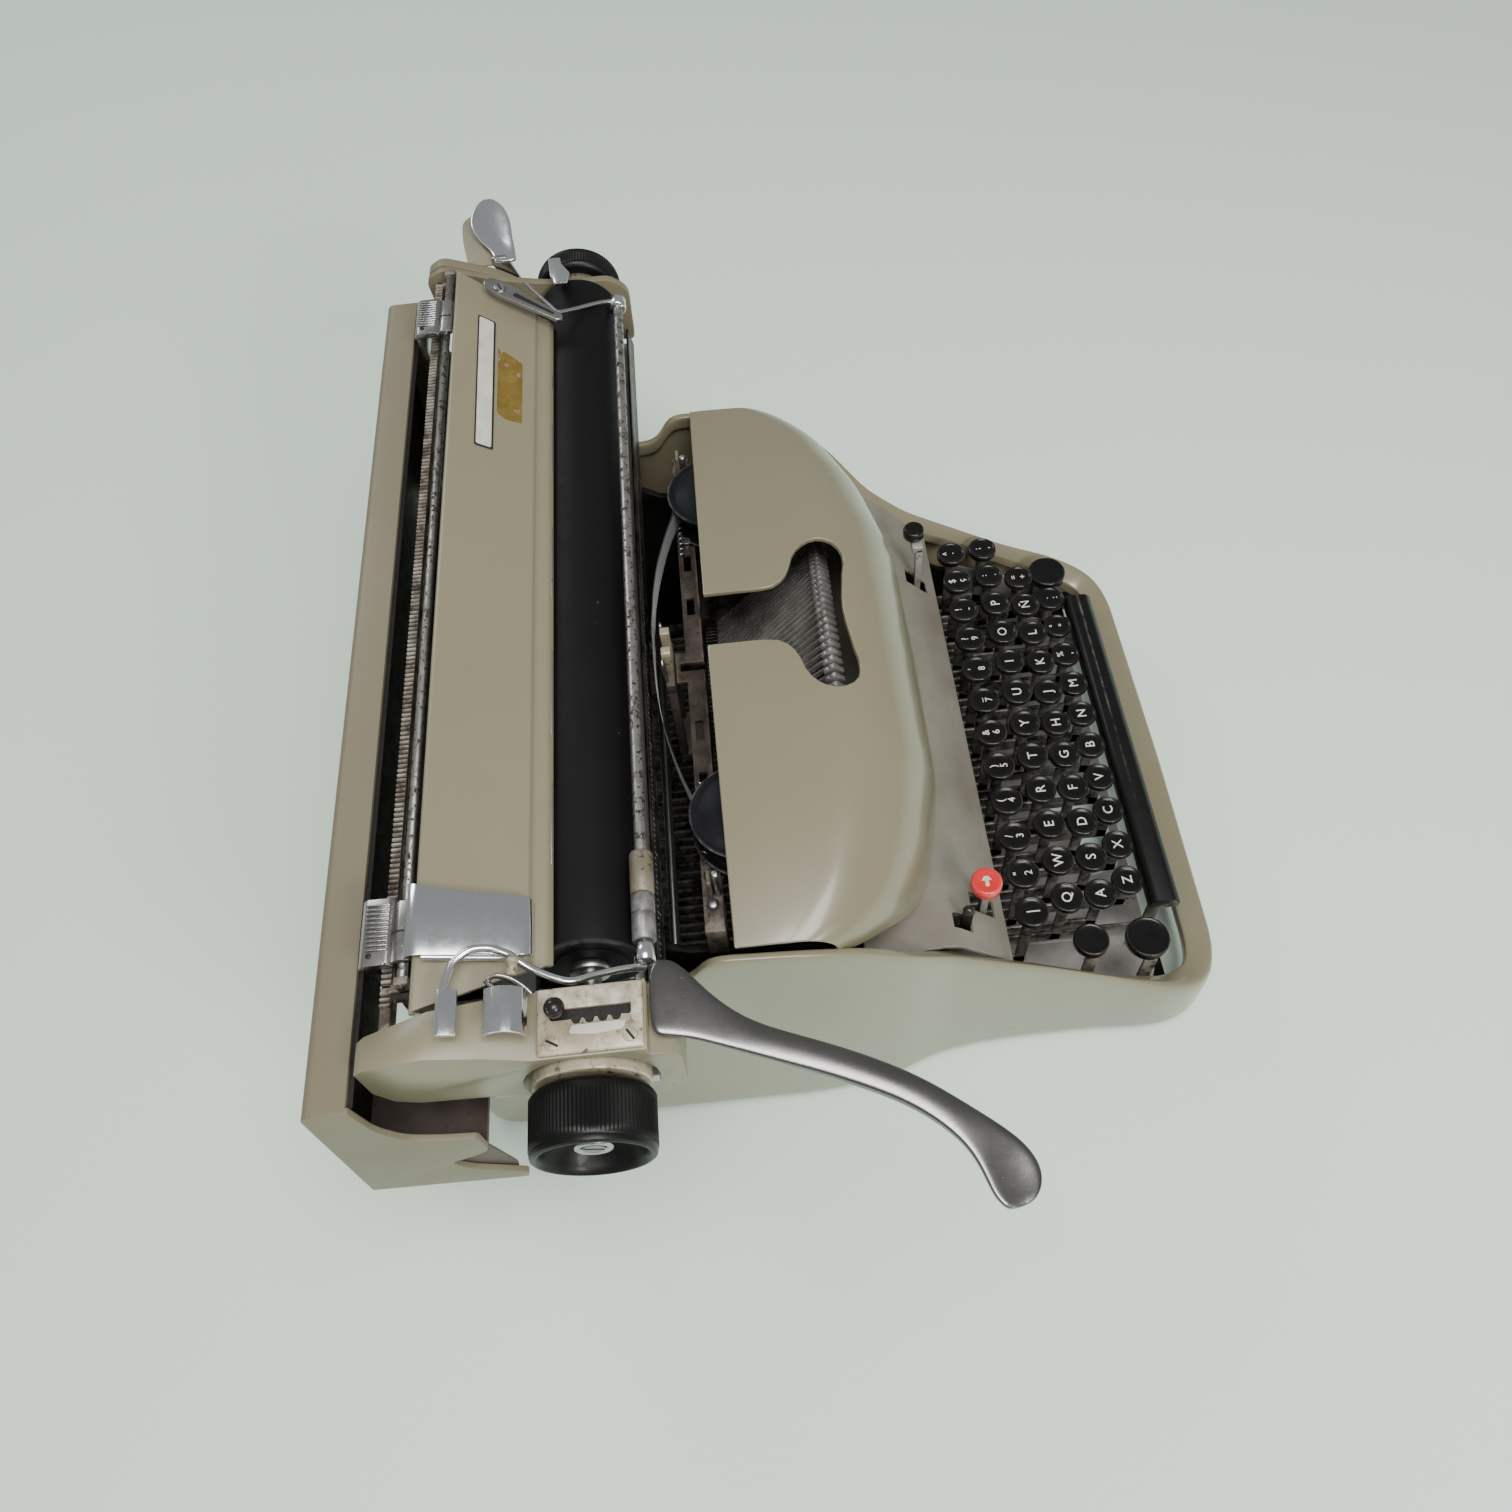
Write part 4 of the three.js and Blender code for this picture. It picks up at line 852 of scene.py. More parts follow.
# Each row: piece name, body, CAD node, keys, sideways shift, y, cap top, cross bar y, legends.
KEY_ROWS = [
    ("number", "number_keys", "key_row_numbers", 12, 0, -101.8, 93.4, 52,
     ["|", "\"\n2", "/\n3", "(\n4", ")\n5", "&\n6", "_\n7", "'\n8", "?\n9", "!\n-", "$\nç", "^\n`"]),
    ("upper", "upper_keys", "key_row_upper", 12, 9.525, -120.9, 83.6, 46,
     list("QWERTYUIOP") + [":\n.", ";\n,"]),
    ("home", "home_keys", "key_row_home", 11, 14.2875, -138.8, 73.7, 40, list("ASDFGHJKLÑ") + ["=\n+"]),
    ("lower", "lower_keys", "key_row_lower", 10, 23.8125, -155.2, 64.7, 34,
     list("ZXCVBNM") + ["%\n,", "ª\nº", ".\n:"]),
]
SINGLE_ROW, SINGLE_INDEX = "home", 5


def key_cap(x, y, top, radius=CAP_RADIUS, thick=CAP_THICK, dish=0.45):
    """A round cap with a rolled rim round a slightly dished top."""
    profile = [(0, -thick), (radius - 1.6, -thick), (radius - 0.7, -thick + 0.5),
               (radius - 0.15, -thick + 1.5),
               (radius, -1.4), (radius - 0.15, -0.5), (radius - 0.6, -0.08), (radius - 1.0, -0.02),
               (radius - 1.35, -0.25), (radius - 1.6, -dish), (radius - 3.2, -dish - 0.12), (0, -dish - 0.18)]
    return lathe(profile, (x, y, top), "z", 40)


def key_parts(x, y, top):
    """The metal under a cap: a collar, a flat stem that steps in, and the long lever to the pivot."""
    collar = rod(3.2, -CAP_THICK - 1.6, -CAP_THICK + 0.2, (x, y, top), "z", 16, 0.2)
    stem = plate([(y - 2.5, LEVER_LOW + 0.5), (y + 2.5, LEVER_LOW + 0.5), (y + 2.5, top - CAP_THICK - 0.4),
                  (y - 2.5, top - CAP_THICK - 0.4)], x - 0.8, x + 0.8, "side")
    lever = plate([(y - 2.5, LEVER_LOW), (LEVER_END, LEVER_LOW), (LEVER_END, LEVER_HIGH),
                   (y + 2.6, LEVER_HIGH), (y - 2.5, LEVER_HIGH - 2)], x - 0.8, x + 0.8, "side")
    return [collar, stem, lever]


def legend(name, text, x, y, z, size):
    """Letters as a thin mesh lying on a cap, readable from the typist's side."""
    curve = bpy.data.curves.new(name, "FONT")
    curve.body = text
    curve.size = size / MM
    curve.align_x = "CENTER"
    curve.align_y = "CENTER"
    curve.space_line = 1.02
    curve.extrude = 0.00005
    curve.offset = 0.00002
    curve.resolution_u = 3
    letters = bpy.data.objects.new(name, curve)
    bpy.context.scene.collection.objects.link(letters)
    bpy.context.view_layer.update()
    mesh = bpy.data.meshes.new_from_object(letters.evaluated_get(bpy.context.evaluated_depsgraph_get()))
    bpy.data.objects.remove(letters)
    mesh.transform(Matrix.Translation(at(x, y, z)))
    return mesh


def join_meshes(name, meshes, look, body, slot_name):
    bm = bmesh.new()
    for mesh in meshes:
        bm.from_mesh(mesh)
        bpy.data.meshes.remove(mesh)
    for face in bm.faces:
        face.material_index = 0
    return finish_piece(name, bm, body, look, slot_name, sharp=30)


def keyboard():
    for row, body, node, count, shift, y, top, bar_y, texts in KEY_ROWS:
        caps, metal, letters = [], [], []
        for i in range(count):
            x = KEY_FIRST + shift + i * KEY_PITCH
            two_line = "\n" in texts[i]
            size = 4.9 if two_line else 6.6
            letter = legend("legend", texts[i], x, y + (0.1 if two_line else -0.1), top - 0.52, size)
            if row == SINGLE_ROW and i == SINGLE_INDEX:
                piece("key_h_cap", key_cap(x, y, top), "h_key", BLACK, "black_plastic", ["key_h"], bevel=0)
                piece("key_h_lever", joined(*key_parts(x, y, top)), "h_key", DARK_STEEL, "dark_steel",
                      bevel=0.15, weld=False)
                join_meshes("key_h_legend", [letter], WHITE, "h_key", "ivory_metal")
                continue
            caps.append(key_cap(x, y, top))
            metal += key_parts(x, y, top)
            metal.append(block(x - 0.8, x + 0.8, bar_y - 1.5, bar_y + 1.5, 22, LEVER_LOW + 0.5))
            letters.append(letter)
        x0 = KEY_FIRST + shift
        metal.append(block(x0, x0 + (count - 1) * KEY_PITCH, bar_y - 1.5, bar_y + 1.5, 21, 24))
        piece(row + "_caps", joined(*caps), body, BLACK, "black_plastic", [node], bevel=0, weld=False)
        piece(row + "_levers", joined(*metal), body, DARK_STEEL, "dark_steel", bevel=0.15, segments=1,
              weld=False)
        join_meshes(row + "_legends", letters, WHITE, body, "ivory_metal")


keyboard()

SHIFT_X_KEY, SHIFT_Y_KEY, SHIFT_TOP, SHIFT_ARM = 109.5, -157, 66, 118.4


def shift_keys():
    caps, metal = [], []
    for side in (-1, 1):
        x = side * SHIFT_X_KEY
        arm = side * SHIFT_ARM
        caps.append(key_cap(x, SHIFT_Y_KEY, SHIFT_TOP, 10, 6, 0.3))
        metal.append(plate([(SHIFT_Y_KEY - 3, 22), (SHIFT_Y_KEY + 3, 22), (SHIFT_Y_KEY + 3, SHIFT_TOP - 5.6),
                            (SHIFT_Y_KEY - 3, SHIFT_TOP - 5.6)], arm - 0.8, arm + 0.8, "side"))
        metal.append(block(arm - 0.8, arm + 0.8, SHIFT_Y_KEY, 66, 20, 30))
    metal.append(rod(3, -SHIFT_ARM, SHIFT_ARM, (0, 66, 22), "x", 20))
    piece("shift_caps", joined(*caps), "shift", BLACK, "black_plastic", ["shift_keys"], bevel=0, weld=False)
    piece("shift_arms", joined(*metal), "shift", RUSTY, "dark_steel", bevel=0.2, weld=False)
    piece("shift_lock_cap", key_cap(-112, -129, 76, 8, 5.5, 0.3), "shift_lock", BLACK, "black_plastic",
          ["shift_lock_key"], bevel=0)
    piece("shift_lock_arm", joined(
        block(-118.6, -117.2, -132, -126, 46, 71.5), block(-118.6, -112, -132, -126, 69, 70.6),
        block(-118.6, -117.2, -129, -70, 46, 52)), "shift_lock", RUSTY, "rusty_steel", bevel=0.2, weld=False)


shift_keys()


def spacebar():
    """A long bar with bevelled top edges, a shallow crown and two arms below."""
    section = [(-177.5, 56), (-163.5, 56), (-163.5, 62), (-166, 64.3), (-170.5, 64.5), (-174.5, 64.2),
               (-177.5, 61.2)]
    body = plate(rounded(section, [0.4, 0.4, 0.8, 1.2, 2, 1.2, 0.8], 3), -92, 92, "side")
    arms = []
    first, last = KEY_FIRST + 0.875 * KEY_PITCH, KEY_FIRST + 9.875 * KEY_PITCH
    for x in (first, last):
        arms.append(block(x - 0.7, x + 0.7, -172, 10, 24, 30))
        arms.append(block(x - 0.7, x + 0.7, -172, -166, 25, 56.4))
    arms.append(block(first, last, 2, 6, 22, 27))
    piece("spacebar_cap", body, "spacebar", BLACK_SATIN, "black_plastic", ["spacebar"], bevel=0.7, segments=3)
    piece("spacebar_arms", joined(*arms), "spacebar", DARK_STEEL, "dark_steel", bevel=0.15, weld=False)


spacebar()


def control_keys():
    """Tabulator and backspace keys that slide in the sloping panel, and the small ribbon selector."""
    for name, body, node, x, stem_x, radius, look, look_slot in (
            ("tabulator", "tabulator", "tabulator_key", -105, -100.5, 6.6, RED, "red_plastic"),
            ("backspace", "backspace", "backspace_key", 91.5, 85.5, 5.2, BLACK, "black_plastic")):
        profile = [(0, -6), (radius - 1.2, -6), (radius - 0.4, -5.4), (radius, -4.6), (radius, -1.2),
                   (radius - 0.4, -0.3), (radius - 1.1, 0), (radius - 2, -0.15), (0, -0.5)]
        piece(name + "_cap", lathe(profile, (x, -78, 132), "z", 40), body, look, look_slot, [node], bevel=0)
        piece(name + "_stem", joined(
            block(stem_x - 2, stem_x + 2, -81.6, -78.4, 84, 124),
            block(min(stem_x, x) - 2, max(stem_x, x) + 2, -81.6, -76.4, 122.4, 126.2)),
            body, MACHINED, "steel", bevel=0.3, weld=False)
    arrow = [(-3.6, -0.75), (0.4, -0.75), (0.4, -2.1), (3.6, 0), (0.4, 2.1), (0.4, 0.75), (-3.6, 0.75)]
    piece("tabulator_arrow", plate([(-105 + a, -78 + b) for a, b in arrow], 131.45, 131.68, "plan"),
          "tabulator",
          WHITE, "ivory_metal", bevel=0)
    piece("ribbon_selector_arm", joined(
        plate(rounded([(-74, 92), (-60, 92), (-60, 97), (-66.6, 98), (-67.6, 121), (-70, 123), (-72.4, 121),
                       (-71.6, 99), (-74, 97)], 1.2, 3), -113.4, -112, "side")), "ribbon_selector",
        DARK_STEEL, "dark_steel", ["ribbon_selector_lever"], bevel=0.3)
    piece("ribbon_selector_knob",
          lathe([(0, -1.8), (1.8, -1.8), (2.5, -1), (2.6, 0), (2.5, 1), (1.8, 1.8), (0, 1.8)],
                                        (-112.7, -70, 121), "x", 24),
          "ribbon_selector", BLACK, "black_plastic", bevel=0)


control_keys()


def keyboard_well():
    """Bare metal side cheeks inside the rim."""
    for side, name in ((-1, "left"), (1, "right")):
        outline = [(-104, 30), (-104, 66), (-128, 55), (-148, 45), (-168, 38), (-176, 34), (-176, 30)]
        piece(name + "_well_side", plate(rounded(outline, 2, 3), side * 121.9, side * 122.9, "side"),
              "machine_body", MACHINED, "steel", bevel=0.2)


keyboard_well()


# ---------------------------------------------------------------- carriage: knobs, platen and end casing
def pierced(outline, holes, low, high):
    """A plan outline with holes, made thick from low to high."""
    flat, edges = [], []
    for loop in [outline, *holes]:
        start = len(flat)
        flat += [Vector(p) for p in loop]
        edges += [(start + i, start + (i + 1) % len(loop)) for i in range(len(loop))]
    spots, _, triangles, _, _, _ = delaunay_2d_cdt(flat, edges, [], 0, 1e-6)

    def within(loop, p):
        inside = False
        for (x0, y0), (x1, y1) in zip(loop, loop[1:] + loop[:1]):
            if (y0 > p.y) != (y1 > p.y) and p.x < (x1 - x0) * (p.y - y0) / (y1 - y0) + x0:
                inside = not inside
        return inside

    kept = []
    for face in triangles:
        middle = sum((spots[i] for i in face), Vector((0, 0))) / len(face)
        if within(outline, middle) and not any(within(hole, middle) for hole in holes):
            kept.append(face)
    count = len(spots)
    points = [(p.x, p.y, low) for p in spots] + [(p.x, p.y, high) for p in spots]
    faces = [tuple(reversed(face)) for face in kept] + [tuple(i + count for i in face) for face in kept]
    seen = {}
    for face in kept:
        for a, b in zip(face, face[1:] + face[:1]):
            seen[(a, b)] = True
    faces += [(a, b, b + count, a + count) for a, b in seen if (b, a) not in seen]
    return points, faces


def screw(x, y, z, radius, angle, height=0.9):
    """A slotted screw head lying flat on a surface at z."""
    parts = [rod(radius, -0.6, height * 0.45, (x, y, z), "z", 32, 0.1)]
    slot = radius * 0.17
    start = math.asin(slot / radius)
    for half in (0, math.pi):
        ring = []
        for k in range(17):
            turn = half + start + (math.pi - 2 * start) * k / 16
            ring.append((x + radius * math.cos(turn), y + radius * math.sin(turn)))
        parts.append(plate(ring, z + height * 0.4, z + height, "plan"))
    return turned(joined(*parts), (x, y, z), (0, 0, 1), angle)


def slot_floor(x, y, z, radius, angle, height=0.9):
    """A near-black strip that fills the floor of the slot of a screw() with the same arguments."""
    reach, half = radius * 0.93, radius * 0.2
    strip = block(x - reach, x + reach, y - half, y + half, z + height * 0.44, z + height * 0.62)
    return turned(strip, (x, y, z), (0, 0, 1), angle)


def platen():
    """The rubber roller with rounded shoulders and bare metal ends, on a steel shaft."""
    left, right = -150, 209
    profile = [(0, left), (13, left), (13.4, left + 0.4), (16.2, left + 0.6), (17.2, left + 0.2),
               (19.2, left + 0.3),
               (19.8, left + 0.9), (20, left + 2)]
    profile += [(20, left + 2 + (right - left - 4) * k / 24) for k in range(1, 24)]
    profile += [(20, right - 2), (19.8, right - 0.9), (19.2, right - 0.3), (17.2, right - 0.2),
                (16.2, right - 0.6),
                (13.4, right - 0.4), (13, right), (0, right)]
    piece("platen_rubber", lathe(profile, (0, PLATEN_Y, PLATEN_Z), "x", 72), "platen", PLATEN_RUBBER,
          "rubber",
          ["platen_roller"], bevel=0, sharp=40)
    shaft = joined(rod(4, -202, left + 0.2, (0, PLATEN_Y, PLATEN_Z), "x", 24),
                   rod(4, right - 0.2, 232, (0, PLATEN_Y, PLATEN_Z), "x", 24),
                   rod(7.5, left - 3.4, left - 0.1, (0, PLATEN_Y, PLATEN_Z), "x", 28, 0.6))
    piece("platen_shaft", shaft, "platen", STEEL, "steel", bevel=0, weld=False)


def knob(name, node, inner, outward, width):
    """A knurled thimble with a deep polished dish, a hub in its middle and a slotted screw."""
    radius = 21.5
    ridges = 96

    def knurl(i, r):
        return (-0.38 if i % 2 else 0.0) if r > radius - 0.25 else 0

    side = [(4.3, 0), (12, 0), (radius - 3, 0), (radius - 1.4, 0.5), (radius - 0.5, 1.6), (radius, 2.4)]
    side += [(radius, 2.4 + (width - 5.4) * k / 6) for k in range(1, 7)]
    side += [(radius - 0.45, width - 2.6), (radius - 0.3, width - 1.6), (radius - 0.6, width - 0.6),
             (radius - 1.3, width - 0.1), (radius - 2.1, width), (radius - 2.9, width - 0.5),
             (radius - 3.8, width - 2.5), (radius - 5.4, width - 6.5), (radius - 8, width - 9.6),
             (radius - 11, width - 10.8), (8.2, width - 10.6), (7.2, width - 9.4), (6.8, width - 7),
             (6.2, width - 5.2), (5, width - 4.6), (0, width - 4.5)]
    profile = [(r, inner + outward * h) for r, h in side]
    piece(name + "_grip", lathe(profile, (0, PLATEN_Y, PLATEN_Z), "x", ridges * 2, knurl), "platen",
          BLACK_SATIN,
          "black_plastic", [node], bevel=0, sharp=35)
    face = inner + outward * (width - 4.6)
    ends = sorted((face, face + outward * 1.3))
    piece(name + "_screw", joined(
        lathe([(0, ends[0]), (3.9, ends[0]), (3.9, ends[1] - 0.3), (3.6, ends[1]), (0, ends[1])],
              (0, PLATEN_Y, PLATEN_Z), "x", 32)), "platen", BRUSHED, "steel", bevel=0)
    rim = [(4.3, 0.1), (6.5, 0.1), (6.9, 0.0), (6.9, 0.7), (6.3, 1.4), (5.4, 1.5), (4.7, 1.2), (4.3, 0.8)]
    piece(name + "_hub_rim", lathe([(r, face + outward * h) for r, h in rim], (0, PLATEN_Y, PLATEN_Z), "x",
                                   40),
          "platen", CHROME_DULL, "chrome", bevel=0)
    # A near-black strip on the screw's face: painted shade standing in for its slot.
    slot_low, slot_high = sorted((face + outward * 1.25, face + outward * 1.42))
    piece(name + "_slot", turned(block(slot_low, slot_high, PLATEN_Y - 3.5, PLATEN_Y + 3.5, PLATEN_Z - 0.45,
                                       PLATEN_Z + 0.45), (0, PLATEN_Y, PLATEN_Z), (1, 0, 0), 20),
          "platen", DARK_FILL_AND_SHADE, "dark_steel", bevel=0)


def ratchet():
    """The line space wheel: a wide smooth ring and a row of pointed teeth."""
    teeth = 30
    rim = [(4.4, -194.5), (17.8, -194.5), (20.0, -194.2), (20.4, -193.6), (20.4, -188.5), (19.9, -188),
           (20.4, -187.5),
           (20.4, -181)]
    count = teeth * 4
    steps = [(20.6, -181), (20.6, -180.9), (20.6, -177.6), (16, -177.5), (4.4, -177.5)]

    def tooth(i, r):
        return (0, 1.4, 2.0, 0.5)[i % 4] if r == 20.6 else 0

    piece("line_space_wheel", lathe(rim + steps, (0, PLATEN_Y, PLATEN_Z), "x", count, tooth), "platen", IVORY,
          "ivory_metal", ["line_space_ratchet"], bevel=0, sharp=30)


platen()
knob("left_knob", "left_platen_knob", -196, -1, 22)
knob("right_knob", "right_platen_knob", 219, 1, 13)
ratchet()


def line_space_plate():
    """The ivory plate with its toothed slot, raised lug, two screws and the black selector ball."""
    slot = [(-175.5, 60), (-175.5, 87), (-178.6, 87), (-179.5, 86), (-179.5, 80.4)]
    for k in range(4):
        y = 78.6 - k * 4.4
        slot += [(-179.4, y + 1.2), (-180.9, y + 0.5), (-181.2, y - 0.6), (-180.9, y - 1.7),
                 (-179.3, y - 2.3)]
    slot += [(-179.5, 60.6), (-178.9, 60)]
    frame_outline = [(-190.5, 56.5), (-168.5, 56.5), (-168.5, 90.5), (-190.5, 90.5)]
    piece("line_space_plate_face", pierced(rounded(frame_outline, 0.8, 3), [slot], 215.4, 217), "carriage",
          IVORY,
          "ivory_metal", ["line_space_plate"], bevel=0.25)
    piece("line_space_plate_edge", pierced(
        rounded([(-190.9, 56.1), (-168.1, 56.1), (-168.1, 90.9), (-190.9, 90.9)], 1, 3),
        [rounded([(-189.9, 57.1), (-169.2, 57.1), (-169.2, 89.9), (-189.9, 89.9)], 0.6, 2)], 214.9, 216.9),
        "carriage", IVORY, "ivory_metal", bevel=0.2)
    lug = rounded([(-184.8, 62.5), (-181.8, 61.5), (-181.9, 79.5), (-184.6, 80.5), (-185.6, 72)], 1, 4)
    piece("line_space_lug", plate(lug, 216.9, 218.3, "plan"), "carriage", PLATE_WHITE, "ivory_metal",
          bevel=0.5,
          segments=3)
    piece("line_space_screws", joined(screw(-187.2, 85.9, 217, 2.5, 60), screw(-186.8, 60.4, 217, 2.4, 35)),
          "carriage", IVORY, "ivory_metal", bevel=0.12, weld=False)
    # Near-black fill in the floors of the two screw slots.
    piece("line_space_screw_slot_fill",
          joined(slot_floor(-187.2, 85.9, 217, 2.5, 60), slot_floor(-186.8, 60.4, 217, 2.4, 35)),
          "carriage", DARK_FILL_AND_SHADE, "dark_steel", bevel=0, weld=False)
    # A near-black sheet under the toothed slot: painted shade standing in for the dark inside seen through
    # the slot.
    piece("line_space_slot_shade", block(-181.6, -174.9, 59.2, 87.6, 215.14, 215.36), "carriage", DARK_FILL_AND_SHADE,
          "dark_steel",
          bevel=0)
    ball = [(0, -3.4), (1.6, -3.05), (2.9, -2.0), (3.45, -0.6), (3.45, 0.6), (2.9, 2.0), (1.6, 3.05),
            (0, 3.4)]
    piece("line_selector_ball", joined(lathe(ball, (-177.5, 84, 223.4), "z", 40),
                                       rod(1.3, 217.3, 221, (-177.5, 84, 0), "z", 20)),
          "line_selector", BLACK, "black_plastic", ["line_space_selector"], bevel=0, weld=False)


line_space_plate()


# ---------------------------------------------------------------- return lever
# Each station gives the arm's left and right edge in plan, its thickness and how far its middle bulges up.
LEVER_STATIONS = [
    ((-186.0, 54.5), (-161.5, 54.5), 3.0, 0.1), ((-187.0, 50.5), (-159.6, 50.0), 3.2, 0.2),
    ((-187.6, 46.0), (-160.4, 45.6), 3.2, 0.25), ((-188.4, 41.0), (-165.4, 40.6), 3.2, 0.3),
    ((-190.4, 35.0), (-173.0, 34.4), 3.3, 0.4), ((-192.7, 28.5), (-179.5, 27.0), 3.5, 0.6),
    ((-195.2, 21.5), (-184.2, 19.5), 3.8, 0.8), ((-199.1, 10.5), (-188.4, 8.3), 4.0, 0.9),
    ((-203.1, -1.0), (-192.6, -4.0), 4.2, 1.0), ((-207.5, -11.8), (-197.6, -16.2), 4.3, 1.0),
    ((-212.0, -22.0), (-203.0, -27.6), 4.3, 1.0), ((-217.0, -30.3), (-208.4, -36.4), 4.2, 0.9),
    ((-222.0, -36.6), (-213.9, -44.0), 4.0, 0.7), ((-227.0, -41.4), (-218.6, -50.4), 3.8, 0.4),
    ((-232.6, -44.8), (-223.4, -56.6), 3.6, 0.0), ((-238.6, -46.8), (-228.6, -62.0), 3.4, -0.5),
    ((-243.4, -48.2), (-235.4, -65.6), 3.3, -0.9), ((-246.8, -50.4), (-242.2, -64.6), 3.2, -0.7),
    ((-248.6, -53.0), (-246.8, -60.6), 2.9, -0.2),
]
LEVER_FALL = 0.165


def return_lever():
    rows = []
    for (ax, ay), (bx, by), thick, bulge in LEVER_STATIONS:
        row = []
        for across, up in ((0, 0.25), (0, 0.75), (0.05, 1), (0.27, 1.0), (0.5, 1.0), (0.73, 1.0), (0.95, 1),
                           (1, 0.75),
                           (1, 0.25), (0.95, 0), (0.5, 0), (0.05, 0)):
            x, y = ax + (bx - ax) * across, ay + (by - ay) * across
            rise = bulge * math.sin(math.pi * across) if up == 1 else 0
            row.append((x, y, 211.6 + LEVER_FALL * (y - 54.5) + up * thick + rise))
        rows.append(row)
    points, faces = sheet_grid(rows, False, True)
    width = len(rows[0])
    last = (len(rows) - 1) * width
    faces += [tuple(range(width))[::-1], tuple(range(last, last + width))]
    lever = piece("return_lever_arm", (points, faces), "return_lever", BRUSHED, "chrome",
                  ["carriage_return_lever"], bevel=0, sharp=60)
    smooth = lever.modifiers.new("smooth", "SUBSURF")
    smooth.levels = smooth.render_levels = 2


return_lever()


# ---------------------------------------------------------------- carriage: paper guides, margin stops
# and levers
def curved_plate(section, thick, x_left, x_right, steps=4):
    """A bent sheet: (y, z) points of its upper face, with its side edges x_left(t) and x_right(t)."""
    path = smooth_path([(0, y, z) for y, z in section], steps)
    rows = []
    for i, p in enumerate(path):
        run = (path[min(i + 1, len(path) - 1)] - path[max(i - 1, 0)]).normalized()
        down = Vector((0, run.z, -run.y)) * thick
        t = i / (len(path) - 1)
        left, right = x_left(t), x_right(t)
        rows.append([(left, p.y, p.z), ((left + right) / 2, p.y, p.z), (right, p.y, p.z),
                     (right, p.y + down.y, p.z + down.z), ((left + right) / 2, p.y + down.y, p.z + down.z),
                     (left, p.y + down.y, p.z + down.z)])
    points, faces = sheet_grid(rows, False, True)
    last = (len(rows) - 1) * 6
    return points, faces + [(5, 4, 3, 2, 1, 0), tuple(last + k for k in range(6))]


def paper_side_guide():
    """A pitted chrome sheet that follows the table, with a rolled left edge and a folded foot."""
    section = [(92.6, 214.2), (93.2, 217.6), (96.5, 219.6), (108, 223.4), (120, 227.2), (126, 229.3),
               (129.5, 230.2),
               (132.4, 229.4), (133, 227.6)]
    sheet = curved_plate(section, 0.7, lambda t: -157 + 2.2 * (1 - t) ** 2, lambda t: -135.2 + 6 * t)
    piece("side_guide_sheet", sheet, "side_guide", CHROME, "chrome", ["paper_side_guide"], bevel=0.2)
    roll = tube([(-156.4, 97, 218.6), (-156.8, 110, 222.8), (-157, 127, 228.3)], 1.1, 1.1, 12, 4)
    piece("side_guide_roll", roll, "side_guide", CHROME, "chrome", bevel=0, sharp=70)


def margin_stop(name, node, body, x):
    """A sliding stop: a ribbed thumb plate behind, a folded clip on the rod and a tongue in the rack."""
    parts = [plate(rounded([(137.9, 222.4), (149.4, 222.4), (149.4, 223.6), (147.6, 225.4), (139.6, 225.4),
                            (137.9, 224)], 0.5, 3), x, x + 24.5, "side"),
             block(x + 2, x + 22.5, 146.4, 149, 209, 222.6),
             plate(rounded([(131.7, 222.7), (138.6, 222.7), (138.6, 223.6), (136.5, 225.1), (133.4, 225.1),
                            (131.7, 223.8)], 0.5, 3), x + 1.2, x + 23.2, "side")]
    piece(name + "_plate", joined(*parts), body, CHROME_DULL, "chrome", [node], bevel=0.3, weld=False)
    ribs = []
    for k in range(11):
        middle = x + 5.4 + k * 1.65
        ribs.append(plate(rounded([(middle - 0.5, 225.2), (middle + 0.5, 225.2), (middle + 0.28, 226.1),
                                   (middle - 0.28, 226.1)], 0.2, 2), 139.4, 147.6, "front"))
    piece(name + "_ribs", joined(*ribs), body, CHROME_DULL, "chrome", bevel=0.12, segments=1, weld=False)
    # A near-black line on the clip and a near-black disc on the thumb plate: painted shade standing in for a
    # notch and a hole.
    piece(name + "_notch_shade", joined(block(x + 11.6, x + 12.2, 132.4, 138.0, 225.0, 225.2),
                                  rod(1.0, 225.2, 225.9, (x + 3.6, 145.6, 0), "z", 20, 0.2)),
          body, DARK_FILL_AND_SHADE, "dark_steel", bevel=0, weld=False)


